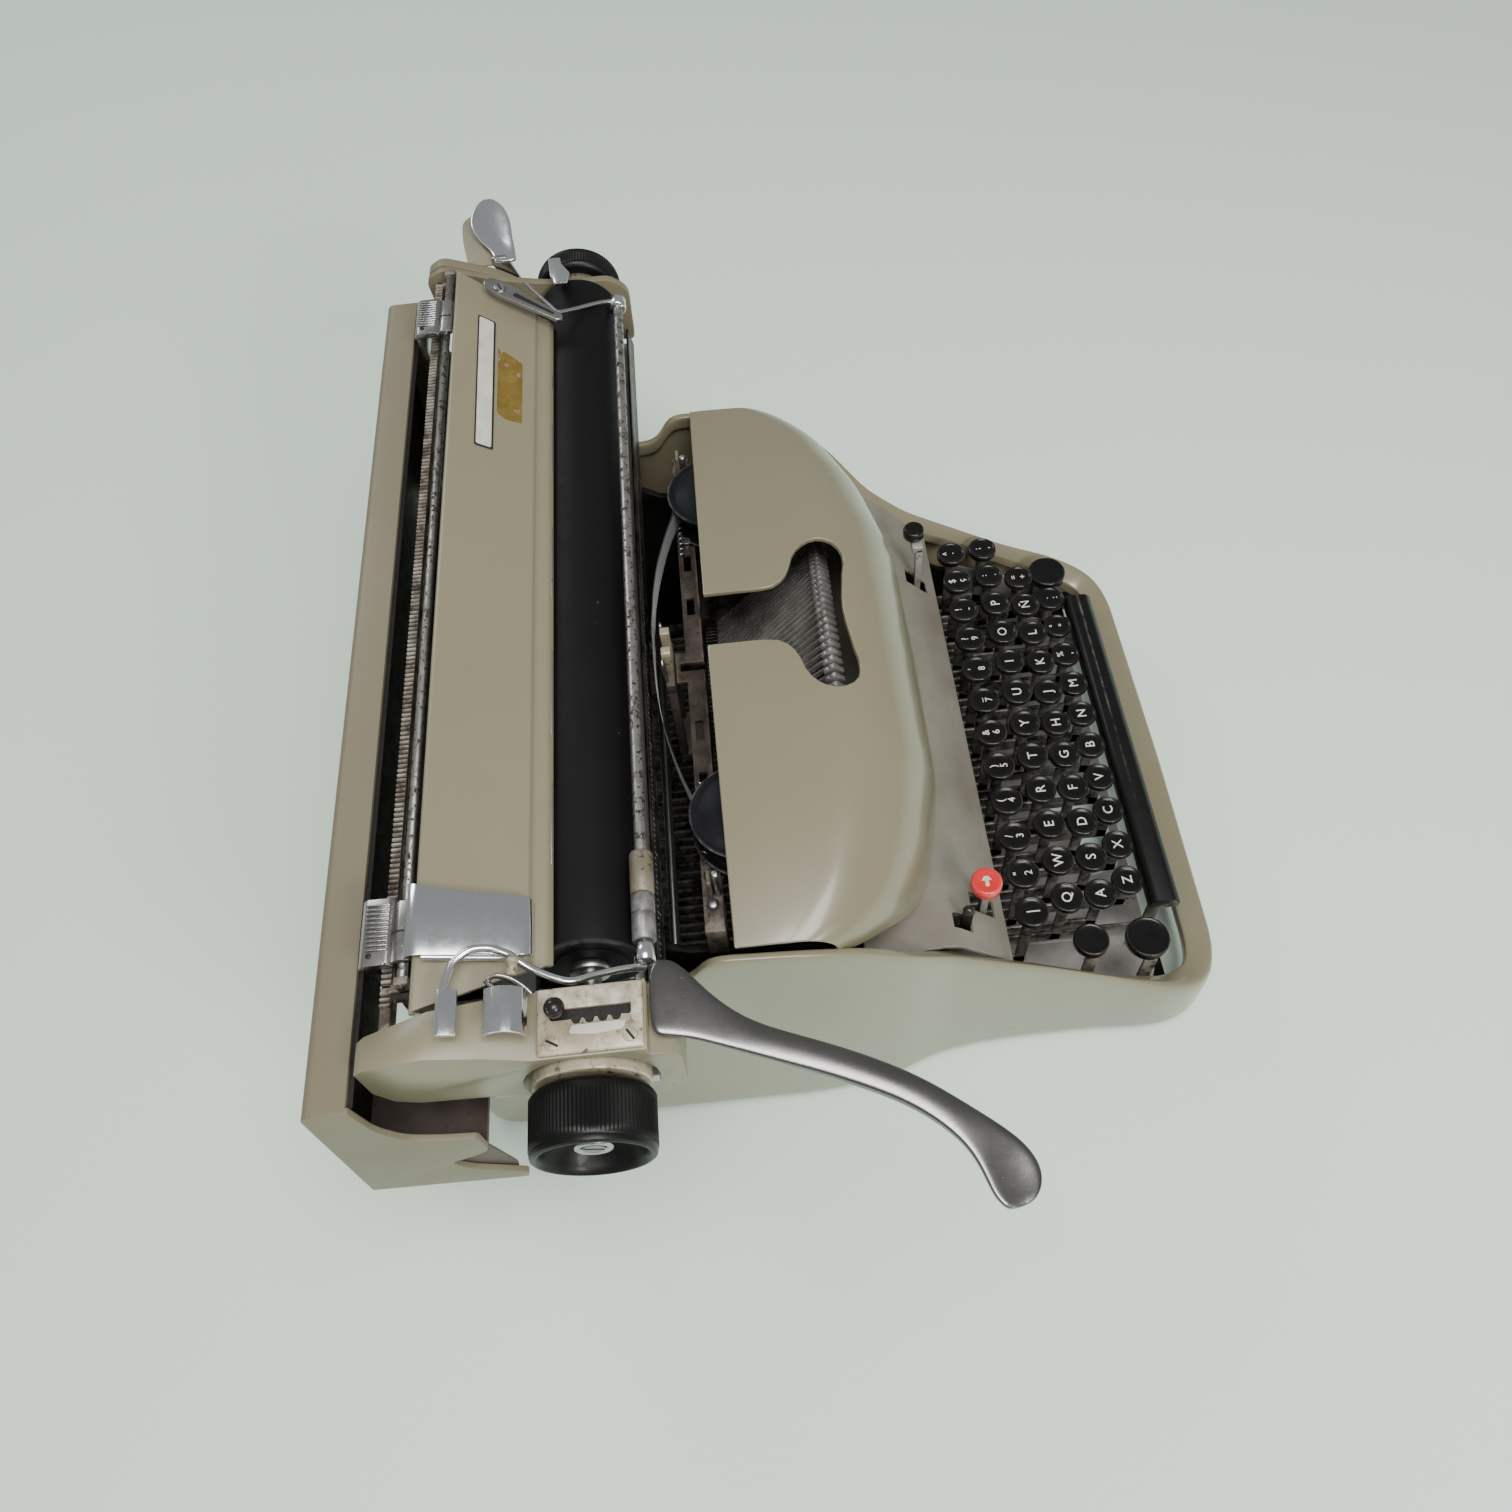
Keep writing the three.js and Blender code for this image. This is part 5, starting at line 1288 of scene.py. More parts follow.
def bail():
    """The paper bail: its rod, the stepped sleeves at the left, its wires and arms, and its finger tab."""
    y, z = 56.3, 203.6
    rod_part = lathe([(0, -157.2), (2.6, -157.2), (3.4, -156.6), (3.5, -150), (3.1, -149.6), (2.2, -149.5),
                      (2.2, -124.5), (2.35, -124.2)] + [(2.35, -124 + 318 * k / 12) for k in range(1, 12)]
                     + [(2.35, 194), (0, 194)], (0, y, z), "x", 28)
    piece("bail_rod", rod_part, "bail", BAIL_METAL, "chrome", ["paper_bail"], bevel=0, sharp=40)
    piece("bail_tip", lathe([(3.52, -156.4), (3.75, -156.2), (3.75, -150.6), (3.52, -150.4)], (0, y, z),
                            "x", 32),
          "bail", CHROME, "chrome", bevel=0)
    grey = lathe([(2.3, -148.8), (3.9, -148.8), (4.3, -148.4), (4.3, -139), (4.1, -138.8), (4.1, -138.2),
                  (4.3, -138), (4.3, -131.4), (3.9, -131), (2.3, -131)], (0, y, z), "x", 36)
    piece("bail_sleeve_grey", grey, "bail", SLEEVE_GREY, "steel", ["bail_sleeve"], bevel=0)
    beige = lathe([(2.3, -130.7), (4.0, -130.7), (4.35, -130.3), (4.35, -115), (3.9, -114), (3.0, -113.6),
                   (2.3, -113.5)], (0, y, z), "x", 36)
    piece("bail_sleeve_beige", beige, "bail", WORN_SLEEVE, "ivory_metal", bevel=0)
    left_wire = tube([(-158.2, y, z), (-159.4, 62.4, 207), (-162, 72, 210.6), (-164.6, 80, 213.6),
                      (-163.7, 86.3, 216.6),
                      (-161.2, 93, 220.6), (-158.2, 98.4, 225.4), (-156.8, 104, 228.7), (-157.2, 110.4, 230),
                      (-161, 115.4, 230.2), (-167, 117.6, 230.4), (-173, 118.2, 230.4)], 1.35, 1.35, 12, 6,
                     Vector((0, 0, 1)))
    piece("bail_wire", left_wire, "bail", CHROME, "chrome", bevel=0, sharp=80)
    tab = plate(rounded([(113.8, 229.4), (120.4, 231), (120.2, 232.6), (119, 232.9), (113.6, 231.2)], 0.6, 3),
                -186.2, -171, "side")
    piece("bail_tab", tab, "bail", CHROME, "chrome", bevel=0.35, segments=3)
    hub = lathe([(0, 190.5), (3.6, 190.5), (4.2, 191.2), (4.2, 196.4), (3.4, 197.4), (0, 197.6)], (0, y, z),
                "x", 32)
    piece("bail_end_hub", hub, "bail", CHROME, "chrome", bevel=0)
    right_wire = tube([(194.5, y + 1, z + 2), (190.6, 65, 208.4), (181, 77, 213.6), (175.2, 83.2, 217.6),
                       (177.6, 86.4, 219.4), (184, 92.4, 222.2), (190.5, 98, 225)], 1.0, 1.0, 10, 6,
                      Vector((0, 0, 1)))
    piece("bail_right_wire", right_wire, "bail", STEEL, "steel", bevel=0, sharp=80)
    axis_a, axis_b = Vector((170.5, 84.5)), Vector((185.4, 109.4))
    run = (axis_b - axis_a).normalized()
    side = Vector((-run.y, run.x))
    arm_outline = [axis_a - run * 3 - side * 2.4, axis_a - run * 4.4, axis_a - run * 3 + side * 2.4,
                   axis_b + side * 4.6, axis_b + run * 6 + side * 3.4, axis_b + run * 8.4,
                   axis_b + run * 6 - side * 3.4,
                   axis_b - side * 4.6]
    flat = plate(rounded([tuple(p) for p in arm_outline], 2.4, 4), 0, 2.2, "plan")
    rise = (225.2 - 218.2) / (axis_b - axis_a).length
    tilted = [(x, yy, zz + 218.2 + rise * (Vector((x, yy)) - axis_a).dot(run)) for x, yy,
              zz in flat[0]], flat[1]
    piece("bail_arm", tilted, "bail", CHROME_DULL, "chrome", bevel=0.5, segments=3)
    # A near-black strip along the arm: painted shade standing in for its groove.
    groove_outline = [axis_a - side * 0.5, axis_a + side * 0.5, axis_b - run * 8 + side * 1.1,
                      axis_b - run * 8 - side * 1.1]
    groove = plate(rounded([tuple(p) for p in groove_outline], 0.4, 2), 0, 0.35, "plan")
    piece("bail_arm_groove_shade", ([(x, yy, zz + 220.3 + rise * (Vector((x, yy)) - axis_a).dot(run))
                               for x, yy, zz in groove[0]], groove[1]), "bail", DARK_FILL_AND_SHADE, "dark_steel", bevel=0)
    piece("bail_arm_screw", screw(185.2, 109.0, 227.2, 2.7, 20), "bail", CHROME_DULL, "chrome", bevel=0.12,
          weld=False)
    # Near-black fill in the floor of the screw slot.
    piece("bail_arm_screw_slot_fill", slot_floor(185.2, 109.0, 227.2, 2.7, 20), "bail", DARK_FILL_AND_SHADE, "dark_steel",
          bevel=0)


def left_levers():
    """The pressure lever on the casing with its bent link and a pin."""
    tab = plate(rounded([(92.4, 223.6), (93.6, 226.6), (96.4, 229), (99.6, 230), (103, 229.8), (105.8, 228.4),
                         (106.4, 226.6), (104.6, 227.6), (102, 228.6), (99.4, 228.7), (96.8, 227.7),
                         (94.6, 225.6),
                         (93.6, 223.4)], 0.5, 3), -186, -170.6, "side")
    piece("pressure_lever_tab", tab, "pressure_lever", CHROME, "chrome", ["pressure_lever"], bevel=0.3,
          segments=3)
    band = tube([(-170.9, 102.4, 228.6), (-168.6, 104.6, 229), (-166.4, 102.4, 228.2), (-166.8, 98.6, 226),
                 (-168.4, 95.4, 223.6), (-169.8, 93.6, 221.6), (-170.6, 92.7, 220.5)], 0.7, 1.6, 10, 5,
                Vector((1, 0, 0)))
    piece("pressure_band", band, "pressure_lever", CHROME_DULL, "chrome", bevel=0, sharp=60)
    piece("pressure_pin", joined(rod(1.7, -166, -160.6, (0, 97, 226.9), "x", 20, 0.4),
                                 rod(2.2, -162.2, -160.4, (0, 97, 226.9), "x", 20, 0.4)), "pressure_lever",
          IVORY,
          "ivory_metal", bevel=0, weld=False)


def right_controls():
    """The spoon-shaped paper release lever and the faceted carriage release tab."""
    stations = [(219.6, 103.6, 115.6, 215.0, 0.0), (223, 104.4, 115.2, 215.2, 0.1),
                (227, 104.6, 116.4, 215.6, 0.5),
                (231.5, 105.2, 119, 216.2, 1.0), (236, 105.9, 122.6, 217.0, 1.5),
                (242, 106.2, 125.8, 218.4, 1.9),
                (247.5, 106.9, 127.0, 219.8, 2.0), (253, 108.6, 126.2, 221.0, 1.7),
                (257.4, 111.2, 124.2, 221.9, 1.1),
                (260.2, 114.2, 121.6, 222.4, 0.5), (261.3, 116.6, 119.2, 222.6, 0.1)]
    rows = []
    for x, y0, y1, z, hollow in stations:
        row = []
        for across, up in ((0, 0.3), (0, 0.8), (0.06, 1), (0.3, 1), (0.5, 1), (0.7, 1), (0.94, 1), (1, 0.8),
                           (1, 0.3),
                           (0.94, 0), (0.5, 0), (0.06, 0)):
            sink = hollow * math.sin(math.pi * across) * (1 if up == 1 else 0.9 if up == 0 else 0)
            row.append((x, y0 + (y1 - y0) * across, z + 2.0 * up - sink))
        rows.append(row)
    points, faces = sheet_grid(rows, False, True)
    last = (len(rows) - 1) * 12
    faces += [tuple(range(12))[::-1], tuple(range(last, last + 12))]
    spoon = piece("paper_release_spoon", (points, faces), "paper_release", CHROME, "chrome",
                  ["paper_release_lever"], bevel=0, sharp=60)
    smooth = spoon.modifiers.new("smooth", "SUBSURF")
    smooth.levels = smooth.render_levels = 2
    arm = plate(rounded([(103.6, 201), (110.4, 201), (117.2, 214.4), (116.4, 217.4), (109, 217.4)], 1.4, 4),
                221.8,
                224.2, "side")
    piece("paper_release_arm", arm, "paper_release", CHROME_DULL, "chrome", bevel=0.35)
    ear = plate(rounded([(222.4, 111), (262, 112.6), (266.8, 118.6), (266.4, 126), (260, 133.5), (245, 132.8),
                         (222.4, 128.8)], [1, 6, 6, 6, 6, 14, 3], 6), 212.6, 214.2, "plan")
    piece("paper_release_ear", ear, "paper_release", ENAMEL_TABLE, "enamel", bevel=0.7, segments=3)
    tab = plate([(196, 78.6), (206, 77.6), (214, 82), (218.5, 82.2), (218.5, 88.3), (206, 87.4),
                 (195.6, 85)], 214.5,
                216.4, "plan")
    lifted = [(x, y, z + max(0, 207 - x) * 0.2) for x, y, z in tab[0]], tab[1]
    piece("carriage_release_tab_face", lifted, "carriage_release", CHROME, "chrome", ["carriage_release_tab"],
          bevel=0.7, segments=2)
    piece("carriage_release_leg",
          plate(rounded([(80, 200), (87, 200), (88, 214.8), (82.2, 214.8)], 1, 3), 217.2,
                                        218.6, "side"), "carriage_release", CHROME_DULL, "chrome", bevel=0.25)


paper_side_guide()
margin_stop("left_margin", "left_margin_stop", "left_margin", -157)
margin_stop("right_margin", "right_margin_stop", "right_margin", 160)
bail()
left_levers()
right_controls()


# ---------------------------------------------------------------- paper table, blank name plate and old
# transfer
def table_height(y):
    return 214.8 + (y - 93) * (226.2 - 214.8) / (129.6 - 93)


def paper_table():
    """The sloping table with a rolled rear edge and a stepped lower lip, ends cut at a slant."""
    section = [(86.9, 209.6), (88.4, 211.8), (90.2, 212.6), (92.2, 212.8), (93.6, 213.6), (94.6, 215.3),
               (97, 216.05), (110, 220.1), (122, 223.85), (127.6, 225.6), (129.6, 226.1), (130.9, 225.4),
               (130.9, 223.6)]
    path = smooth_path([(0, y, z) for y, z in section], 3)
    rows = []
    for i, p in enumerate(path):
        run = (path[min(i + 1, len(path) - 1)] - path[max(i - 1, 0)]).normalized()
        down = Vector((0, run.z, -run.y)) * 1.7
        left = -154 - (p.y - 80) * 22 / 53
        right = 171 + (p.y - 80) * 33 / 53
        columns = [left + (right - left) * k / 12 for k in range(13)]
        rows.append([(x, p.y, p.z) for x in columns]
                    + [(x, p.y + down.y, p.z + down.z) for x in reversed(columns)])
    points, faces = sheet_grid(rows, False, True)
    width = len(rows[0])
    last = (len(rows) - 1) * width
    for start in (0, last):
        for k in range(12):
            quad = (start + k, start + k + 1, start + width - 2 - k, start + width - 1 - k)
            faces.append(quad if start else quad[::-1])
    piece("paper_table_sheet", (points, faces), "carriage", ENAMEL_TABLE, "enamel", ["paper_table"],
          bevel=0.4,
          segments=3, angle=50)
    plates = []
    for left, right in ((-118, -84), (-62, -22), (6, 44), (76, 108), (128, 140)):
        plates.append(block(left, right, 87.2, 87.8, 208.4, 210.6))
    piece("paper_apron_edges", joined(*plates), "carriage", STEEL, "steel", bevel=0.15, weld=False)


def slanted(corners, lift, thick):
    """A thin patch lying on the table, from plan corners."""
    flat = plate(rounded(corners, 1.1, 4), 0, thick, "plan")
    return [(x, y, z + table_height(y) + lift) for x, y, z in flat[0]], flat[1]


def table_trim():
    outer = [(83.2, 111.2), (168.0, 112.0), (172.0, 119.8), (85.6, 119.0)]
    inner = [(84.3, 111.9), (167.4, 112.7), (170.7, 119.1), (86.3, 118.3)]
    piece("name_plate_edge", slanted(outer, 0.05, 0.5), "carriage", DARK_FILL_AND_SHADE, "dark_steel", bevel=0.15)
    piece("name_plate_blank", slanted(inner, 0.3, 0.45), "carriage", PLATE_WHITE, "ivory_metal", bevel=0.12)
    gold = [(102.0, 99.6), (141.6, 99.8), (150.6, 110.6), (107.4, 110.2), (103.4, 106.4)]
    piece("old_transfer", slanted(gold, 0.02, 0.12), "carriage", GOLD, "enamel", bevel=0)


paper_table()
table_trim()


# ---------------------------------------------------------------- type basket
FAN_PIVOT_Y, FAN_PIVOT_Z = 21.7, 122.7
FAN_COUNT, SINGLE_BAR = 45, 22


def bar_place(index):
    offset = index - (FAN_COUNT - 1) / 2
    pivot_x, slug_x = offset * 2.9, offset * 4
    return (Vector((pivot_x, FAN_PIVOT_Y, FAN_PIVOT_Z - 0.0035 * pivot_x ** 2)),
            Vector((slug_x, -28 - 0.0004 * slug_x ** 2, 176 - 0.0045 * slug_x ** 2)))


def along_bar(start, end):
    """Maps (run, up, across) of a type bar to machine axes."""
    run = (end - start).normalized()
    across = (Vector((1, 0, 0)) - run * run.x).normalized()
    up = across.cross(run)
    return lambda a, b, c: tuple(start + run * a + up * b + across * c)


def type_bar(start, end):
    """A thin steel bar that narrows to the slug."""
    spot = along_bar(start, end)
    length = (end - start).length
    profile = [(-2, -2.5), (length * 0.35, -2.2), (length - 12, -1.4), (length - 6, -1.3), (length - 6, 0.8),
               (length - 12, 1.1), (length * 0.35, 2.1), (-2, 2.5)]
    n = len(profile)
    points = [spot(a, b, -0.55) for a, b in profile] + [spot(a, b, 0.55) for a, b in profile]
    faces = [tuple(range(n))[::-1], tuple(range(n, 2 * n))]
    faces += [(k, (k + 1) % n, (k + 1) % n + n, k + n) for k in range(n)]
    return points, faces


def type_slug(start, end):
    spot = along_bar(start, end)
    length = (end - start).length
    parts = []
    for a0, a1, b0, b1, half in ((length - 6.2, length, -4.4, 1.9, 1.15),
                                 (length - 5.6, length - 3.4, -5, -4.2, 0.75),
                                 (length - 2.6, length - 0.4, -5, -4.2, 0.75)):
        points = [spot(a, b, c) for a in (a0, a1) for b in (b0, b1) for c in (-half, half)]
        parts.append((points, [(0, 1, 3, 2), (4, 6, 7, 5), (0, 4, 5, 1), (2, 3, 7, 6), (0, 2, 6, 4),
                               (1, 5, 7, 3)]))
    return joined(*parts)


def type_basket():
    bars, slugs = [], []
    for i in range(FAN_COUNT):
        start, end = bar_place(i)
        if i == SINGLE_BAR:
            end = Vector((start.x, -28, 176))
            piece("typebar_h_bar", type_bar(start, end), "h_typebar", BAR_STEEL_GLINTS, "dark_steel", ["typebar_h"],
                  bevel=0.15, segments=2)
            piece("typebar_h_slug", type_slug(start, end), "h_typebar", SLUG_STEEL, "steel", bevel=0.2,
                  weld=False)
            continue
        bars.append(type_bar(start, end))
        slugs.append(type_slug(start, end))
    piece("typebars", joined(*bars), "machine_body", BAR_STEEL_GLINTS, "dark_steel", ["typebar_fan"], bevel=0.15,
          segments=2, weld=False)
    piece("type_slugs", joined(*slugs), "machine_body", SLUG_STEEL, "steel", bevel=0.2, segments=2,
          weld=False)
    xs = [-72 + 6 * k for k in range(25)]
    pivot_wire = tube([(x, 21.9, FAN_PIVOT_Z + 0.2 - 0.0035 * x * x) for x in xs if abs(x) <= 66], 0.8, 0.8,
                      8, 2,
                      Vector((0, 1, 0)))
    piece("typebar_pivot_wire", pivot_wire, "machine_body", STEEL, "steel", bevel=0, sharp=80)
    teeth = []
    for k in range(46):
        x = (k - 22.5) * 2.9
        arc = FAN_PIVOT_Z - 0.0035 * x * x
        teeth.append(block(x - 0.45, x + 0.45, 11, 31, arc - 9, arc - 4.5))
    arc = [(-74 + 148 * k / 24, 0) for k in range(25)]
    upper = [(x, FAN_PIVOT_Z - 0.0035 * min(abs(x), 64) ** 2 - 7) for x, _ in arc]
    lower = [(x, z - 9) for x, z in upper]
    piece("type_segment_body", joined(plate(upper + lower[::-1], 10, 32, "front"), *teeth,
                                      block(-123.2, 123.2, 12, 30, 94, 102)), "machine_body", DARK_STEEL,
          "dark_steel", ["type_segment"], bevel=0.3, weld=False)


def type_guide():
    """The forked guide at the printing point with flared tips, and the card holder beside it."""
    for name, side in (("left", -1), ("right", 1)):
        outline = [(2.6, 163), (5.6, 163), (6.2, 172), (7.6, 179), (7.2, 181), (3.2, 181), (2.8, 176)]
        points = rounded([(side * x, z) for x, z in outline], 0.9, 3)
        piece("type_guide_prong_" + name, plate(points, 43, 47, "front"), "machine_body", IVORY,
              "ivory_metal",
              ["type_guide"] if side < 0 else [], bevel=0.6, segments=3)
    frame_parts = [block(-12, 12, 43, 47, 158, 164), block(-12, -8, 43.2, 46.8, 108, 159),
                   block(8, 12, 43.2, 46.8, 108, 159), block(-12, 12, 32.4, 46.8, 104.5, 109)]
    piece("type_guide_frame", joined(*frame_parts), "machine_body", BARE_BROWN, "ivory_metal", bevel=0.5,
          weld=False)
    loops = []
    for side in (-1, 1):
        loops.append(tube([(side * 9.5, 46, 163.6), (side * 10.5, 46.6, 170), (side * 11.6, 46.8, 177),
                           (side * 9.8, 46.8, 179.4), (side * 8.4, 46.6, 177), (side * 8.6, 46, 168)], 0.7,
                          0.7, 8, 5,
                          Vector((0, 1, 0))))
    piece("ribbon_vibrator_wires", joined(*loops), "machine_body", STEEL, "steel", bevel=0, sharp=80,
          weld=False)


RIBBON_LINE = [(-84, 34.6), (-66, 41.5), (-40, 48), (-16, 50.4), (0, 50.8), (16, 50.4), (40, 48), (66, 41.5),
               (84, 34.6)]
RIBBON_LOW, RIBBON_WIDTH, RIBBON_THICK = 164.4, 12.7, 0.12


def ribbon():
    """The inked ribbon between the spools, with the slack waves and faint creases of cloth."""
    path = smooth_path([(x, y, 0) for x, y in RIBBON_LINE], 14)
    length = sum((b - a).length for a, b in zip(path, path[1:]))
    rows, travelled = [], 0.0
    for i, p in enumerate(path):
        if i:
            travelled += (p - path[i - 1]).length
        run = (path[min(i + 1, len(path) - 1)] - path[max(i - 1, 0)]).normalized()
        out = Vector((run.y, -run.x, 0))
        ease = math.sin(math.pi * travelled / length)
        row = []
        for k in range(7):
            up = k / 6
            wave = 0.12 * math.sin(travelled / 6.3 + 1.4 * up) + 0.07 * math.sin(travelled / 2.7 - up)
            place = p + out * wave * ease
            row.append((place.x, place.y, RIBBON_LOW + RIBBON_WIDTH * up))
        rows.append(row)
    points, faces = sheet_grid(rows)
    strip = piece("ribbon_strip", (points, faces), "machine_body", CLOTH, "ribbon_cloth", ["ribbon"], bevel=0,
                  sharp=80)
    thick = strip.modifiers.new("cloth", "SOLIDIFY")
    thick.thickness = RIBBON_THICK / MM
    thick.offset = 0


SPOOL_X, SPOOL_Y = 86, 18.5


def spools():
    """Thin flanged spools with three stamped openings drawn as near-black dots of painted shade, a notched
    hub nut and a pack between the flanges.
    """
    for name, side in (("left", -1), ("right", 1)):
        centre = (side * SPOOL_X, SPOOL_Y, 0)
        body = name + "_spool"
        low, top = 162.7, 178.7
        flanges = [lathe([(4, z0), (20.7, z0), (21.4, z0 + 0.35), (21.4, z0 + 0.75), (20.7, z0 + 1.1),
                          (19.5, z0 + 0.8), (17.5, z0 + 0.8), (17, z0 + 1.1), (4, z0 + 1.1)], centre, "z", 64)
                   for z0 in (low, top - 1.1)]
        piece("spool_flanges_" + name, joined(*flanges), body, SPOOL_BLUE, "dark_steel",
              [name + "_ribbon_spool"], bevel=0, weld=False)
        radius = 15 if side < 0 else 12.5
        turns = [(radius + 0.12 * ((-1) ** k), low + 1.3 + 12.7 * k / 18) for k in range(19)]
        piece("spool_pack_" + name,
              lathe([(4, turns[0][1])] + turns + [(4, turns[-1][1])], centre, "z", 48), body,
              CLOTH, "ribbon_cloth", bevel=0, sharp=40)
        hub = lathe([(0, 178.2), (4.6, 178.2), (4.6, 179.6), (3.9, 180.9), (1.8, 181), (1.8, 180.2),
                     (0, 180.2)],
                    centre, "z", 24, lambda k, r: -0.25 if k % 4 == 0 and r > 3 else 0)
        piece("spool_hub_" + name, hub, body, STEEL, "steel", bevel=0)
        # Near-black dots on the upper flange: painted shade standing in for its three openings.
        dots = [rod(1.5, 178.72, 178.82, (centre[0] + 11 * math.cos(a), centre[1] + 11 * math.sin(a), 0),
                    "z", 20, 0)
                for a in (0.4, 2.5, 4.6)]
        piece("spool_hole_shade_" + name, joined(*dots), body, DARK_FILL_AND_SHADE, "dark_steel", bevel=0, weld=False)


def spool_bed():
    """The rusty cross plate for the spools, with its cups, cranks, screws, springs and ribbon posts."""
    beam = pierced([(-112, 30), (-2.2, 30), (-2.2, 40.6), (2.2, 40.6), (2.2, 30), (112, 30), (112, 38),
                    (8, 38),
                    (8, 42.6), (-8, 42.6), (-8, 38), (-112, 38)],
                   [[(x - 5, 32.4), (x - 5, 35.8), (x + 5, 35.8), (x + 5, 32.4)] for x in (-60, -34, 34, 60)],
                   158, 160.5)
    parts = [beam]
    for side in (-1, 1):
        parts += [lathe([(0, 160), (12.6, 160), (14, 160.5), (14, 161.6), (13, 162), (0, 162)],
                        (side * SPOOL_X, SPOOL_Y, 0), "z", 48),
                  block(side * SPOOL_X - 6, side * SPOOL_X + 6, SPOOL_Y, 34, 158.5, 161.3),
                  block(side * 120 - 8, side * 120 + 8, 30, 38, 140, 160.5),
                  block(side * 113 - 3, side * 113 + 3, 33.6, 35.2, 158, 177.8)]
    piece("spool_bed_plates", joined(*parts), "machine_body", RUSTY, "rusty_steel", ["spool_bed"], bevel=0.45,
          segments=2, weld=False)
    for side in (-1, 1):
        name = "left" if side < 0 else "right"
        post = [rod(1.7, 158, 177.6, (side * 111.6, 31.8, 0), "z", 20, 0.6),
                rod(2.8, 160.6, 162.6, (side * 104, 34, 0), "z", 24, 0.5),
                rod(2.3, 160.5, 163.2, (side * 117, 34, 0), "z", 24, 0.6)]
        piece("ribbon_post_" + name, joined(*post), "machine_body", STEEL, "steel", bevel=0, weld=False)
        spring = [(side * (98 - 36 * t) + 0.0, 36.0 + 1.3 * math.sin(t * 70), 163.0 + 1.3 * math.cos(t * 70))
                  for t in (k / 110 for k in range(111))]
        piece("ribbon_spring_" + name, tube(spring, 0.35, 0.35, 6, 1, Vector((0, 0, 1))), "machine_body",
              STEEL,
              "steel", bevel=0, sharp=80)
        crank = plate(rounded([(side * 96, 30.6), (side * 99, 36.6), (side * 74, 36.4), (side * 66, 33.4),
                               (side * 74, 31)], 1.3, 3), 160.6, 162, "plan")
        piece("ribbon_crank_" + name, crank, "machine_body", RUSTY, "rusty_steel", bevel=0.3)
        piece("ribbon_bed_screw_" + name, screw(side * 70.5, 33.6, 163.2, 2.1, 35), "machine_body", STEEL,
              "steel",
              bevel=0.1, weld=False)


type_basket()
type_guide()
ribbon()
spools()
spool_bed()


# ---------------------------------------------------------------- base flange, carriage rack and right
# end frame
def base_plate():
    """The bare metal bottom under the keys, with its windows and pressed ribs."""
    outer = [(-121, -70), (-121, -150), (-116, -166), (-104, -172.5), (104, -172.5), (116, -166), (121, -150),
             (121, -70)]
    windows = [rounded([(5, -168), (-48, -168), (-52, -153), (-46, -150), (5, -152)], 4, 4),
               rounded([(2, -149), (-12, -149), (-12, -140), (2, -140)], 3, 4),
               rounded([(4, -131), (-8, -131), (-8, -123), (4, -123)], 3, 4)]
    base = pierced(rounded(outer, [0, 4, 6, 6, 6, 6, 4, 0], 5), windows, 13.4, 14)
    piece("base_plate", base, "machine_body", MACHINED, "steel", bevel=0)
    ribs = [plate(rounded([(x - 2, -148), (x + 2, -148), (x + 2, -84), (x - 2, -84)], 1.9, 4), 13.9, 14.15,
                  "plan")
            for x in (-108, -84, -60, 30, 62, 94)]
    piece("base_ribs", joined(*ribs), "machine_body", MACHINED, "steel", bevel=0.1, weld=False)


def margin_rack():
    """A toothed rusty rack and the bright rod in front of it, with end brackets."""
    teeth = [(-176, 208), (-176, 214.8)]
    for k in range(180):
        x = -168 + k * 2.1
        if x > 208:
            break
        teeth += [(x, 214.8), (x + 0.5, 216), (x + 1.2, 216), (x + 1.7, 214.8)]
    teeth += [(211.5, 214.8), (211.5, 208)]
    piece("margin_rack_bar", plate(teeth, 140.5, 144, "front"), "carriage", RUSTY, "rusty_steel",
          ["margin_rack"],
          bevel=0, sharp=30)
    piece("margin_rod", rod(1.8, -164, 211, (0, 135.5, 220), "x", 28, 0.4), "carriage", BAIL_METAL,
          "chrome", bevel=0)
    brackets = []
    for x0 in (-163, 207):
        brackets += [block(x0, x0 + 3, 133, 144, 206, 216), block(x0, x0 + 3, 133, 138, 214, 222)]
    piece("margin_brackets", joined(*brackets), "carriage", RUSTY, "rusty_steel", bevel=0.5, weld=False)


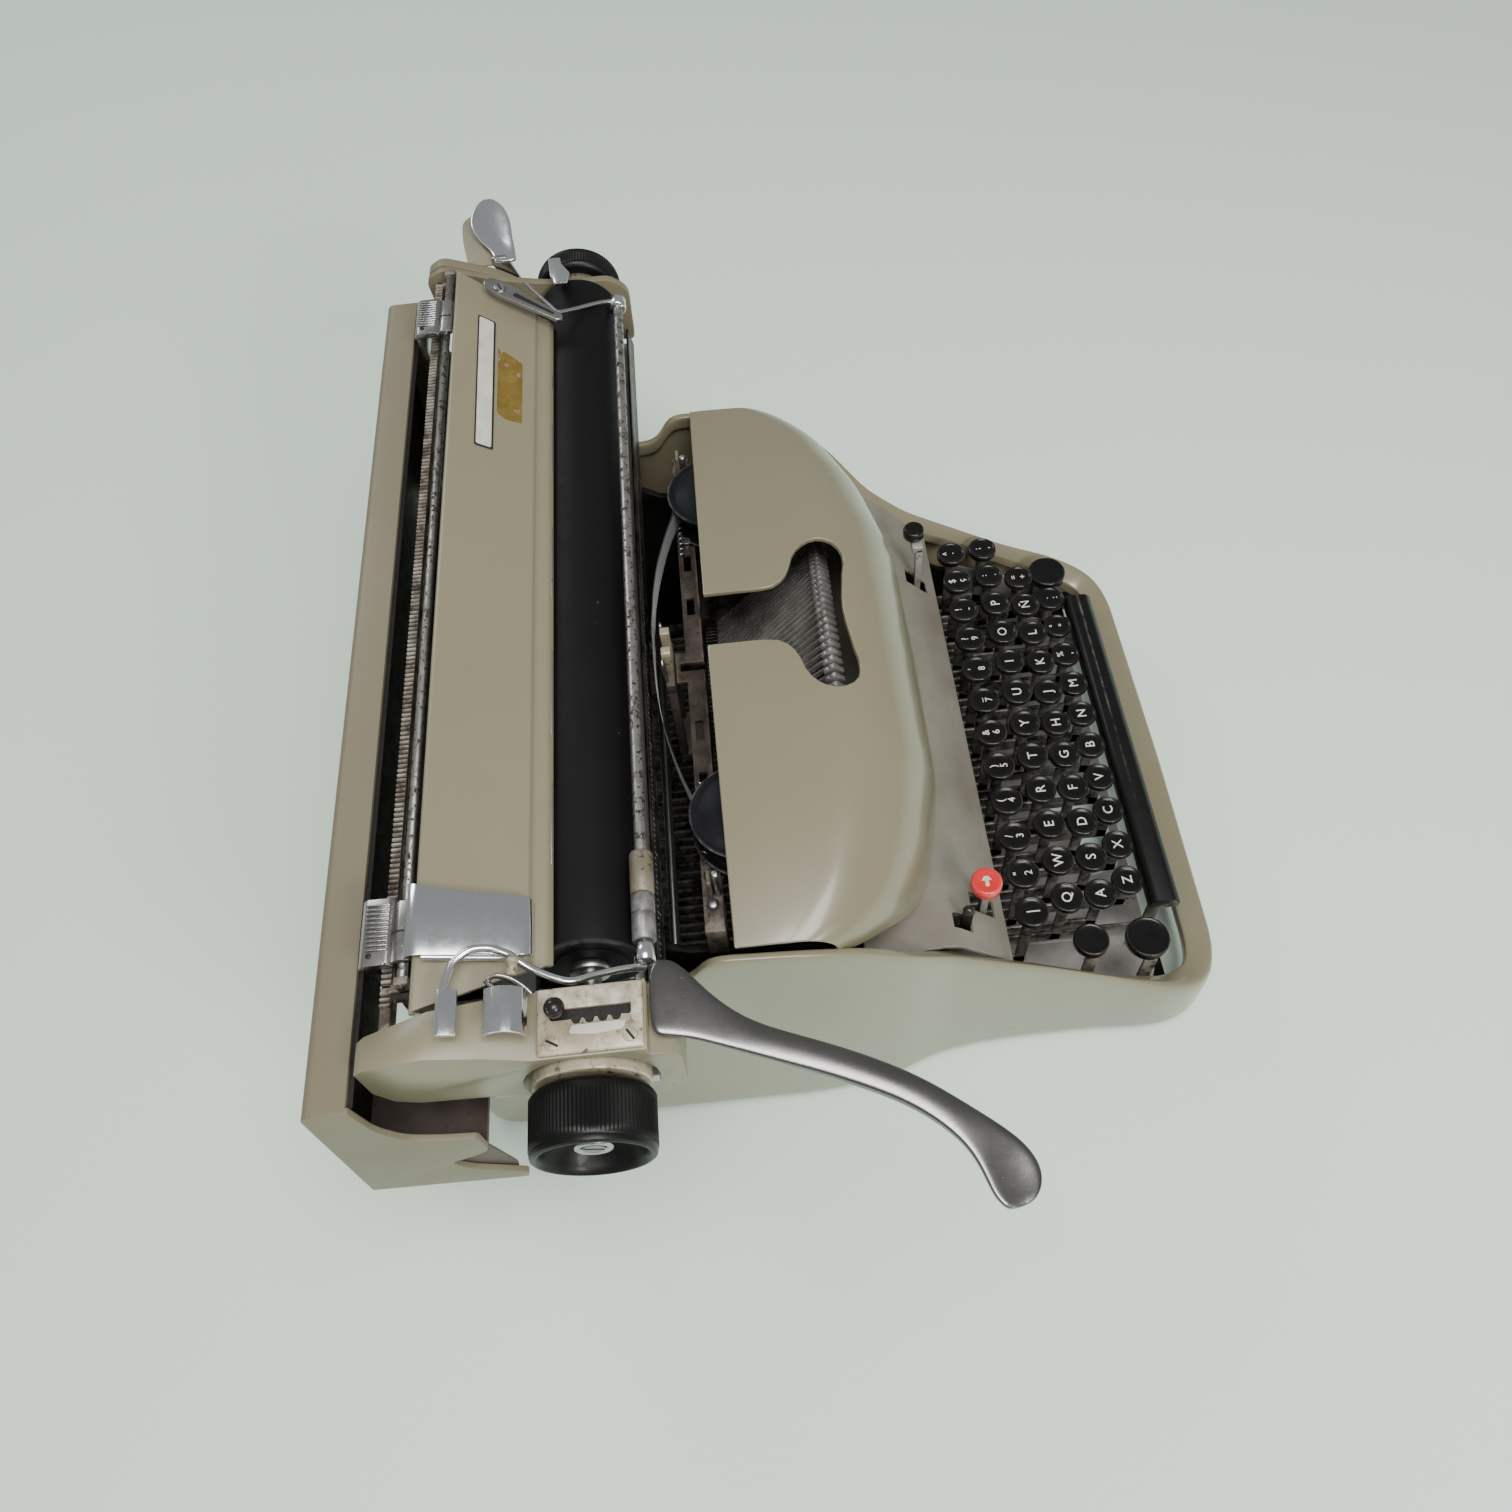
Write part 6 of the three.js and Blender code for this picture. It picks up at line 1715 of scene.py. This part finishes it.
def scale_rail():
    """The polished rail in front of the platen, with the fine ticks of the scale."""
    rail = plate(rounded([(53, 168), (54.4, 168), (55.8, 177.2), (54.6, 178)], 0.3, 2), -158, 208, "side")
    piece("front_scale_face", joined(rail, block(-158, 208, 53, 55.2, 167, 168.6)), "carriage", BLACK_SATIN,
          "steel",
          ["front_scale_rail"], bevel=0.2, weld=False)
    ticks = []
    for k in range(138):
        x = -150 + k * 2.54
        tall = 4.2 if k % 10 == 0 else 2.8 if k % 5 == 0 else 1.7
        ticks.append(([(x - 0.12, 53.9 + 0.16, 177.0), (x + 0.12, 53.9 + 0.16, 177.0),
                       (x + 0.12, 53.9 + 0.16 - 0.15 * tall, 177.0 - tall),
                       (x - 0.12, 53.9 + 0.16 - 0.15 * tall, 177.0 - tall)], [(0, 1, 2, 3)]))
    piece("scale_ticks", joined(*ticks), "carriage", WHITE, "ivory_metal", bevel=0, weld=False)


def right_end():
    """The right end frame: a cast plate with a rounded top, the inner cover strip and its screws."""
    outline = [(52, 168), (112, 170), (119, 176), (133, 178), (142, 183), (147, 192), (149, 216), (140, 221),
               (112, 211), (88, 206), (60, 205), (51, 198)]
    cheek = plate(rounded(outline, [3, 6, 4, 6, 6, 6, 4, 4, 8, 8, 3, 5], 5), 212, 216, "side")
    strip = plate(rounded([(98, 200), (146, 205), (148.5, 217), (140, 222), (114, 212)], [4, 5, 4, 4, 6],
                          5), 215.6,
                  221, "side")
    piece("right_end_plates", joined(cheek, strip), "carriage", ENAMEL_DULL, "ivory_metal",
          ["right_end_frame"],
          bevel=0.8, segments=3, weld=False)
    collar = lathe([(4.3, 216), (14, 216), (15.5, 216.8), (15.5, 219.4), (14.8, 220), (4.3, 220)],
                   (0, PLATEN_Y, PLATEN_Z), "x", 40)
    piece("right_bearing_collar", collar, "carriage", WORN_SLEEVE, "ivory_metal", bevel=0)
    for k, (y, z) in enumerate(((64, 197), (60, 176), (104, 178))):
        piece(f"right_end_screw_{k}", turned_screw(216.0, y, z, 2.6, 20 + 40 * k), "carriage", STEEL, "steel",
              bevel=0.1, weld=False)


def turned_screw(x, y, z, radius, angle):
    """A slotted screw head that faces right."""
    points, faces = screw(0, 0, 0, radius, angle)
    return [(x + pz, y + px, z + py) for px, py, pz in points], faces


base_plate()
margin_rack()
scale_rail()
right_end()

# ---------------------------------------------------------------- CAD nodes that stay
KEPT_NODES = {
    ENAMEL_TABLE: ["left_end_casing"],
    RUBBER: ["foot_front_left", "foot_front_right", "foot_rear_left", "foot_rear_right", "front_feed_roller",
             "rear_feed_roller"],
    DARK_STEEL: ["left_frame_plate", "right_frame_plate", "rear_frame_bar", "key_lever_comb",
                 "mainspring_drum"],
    STEEL: ["front_carriage_rail", "rear_carriage_rail", "key_fulcrum_shaft", "carriage_bed",
            "escapement_wheel",
            "bell"],
}
for look, names in KEPT_NODES.items():
    for name in names:
        dress(name, look)
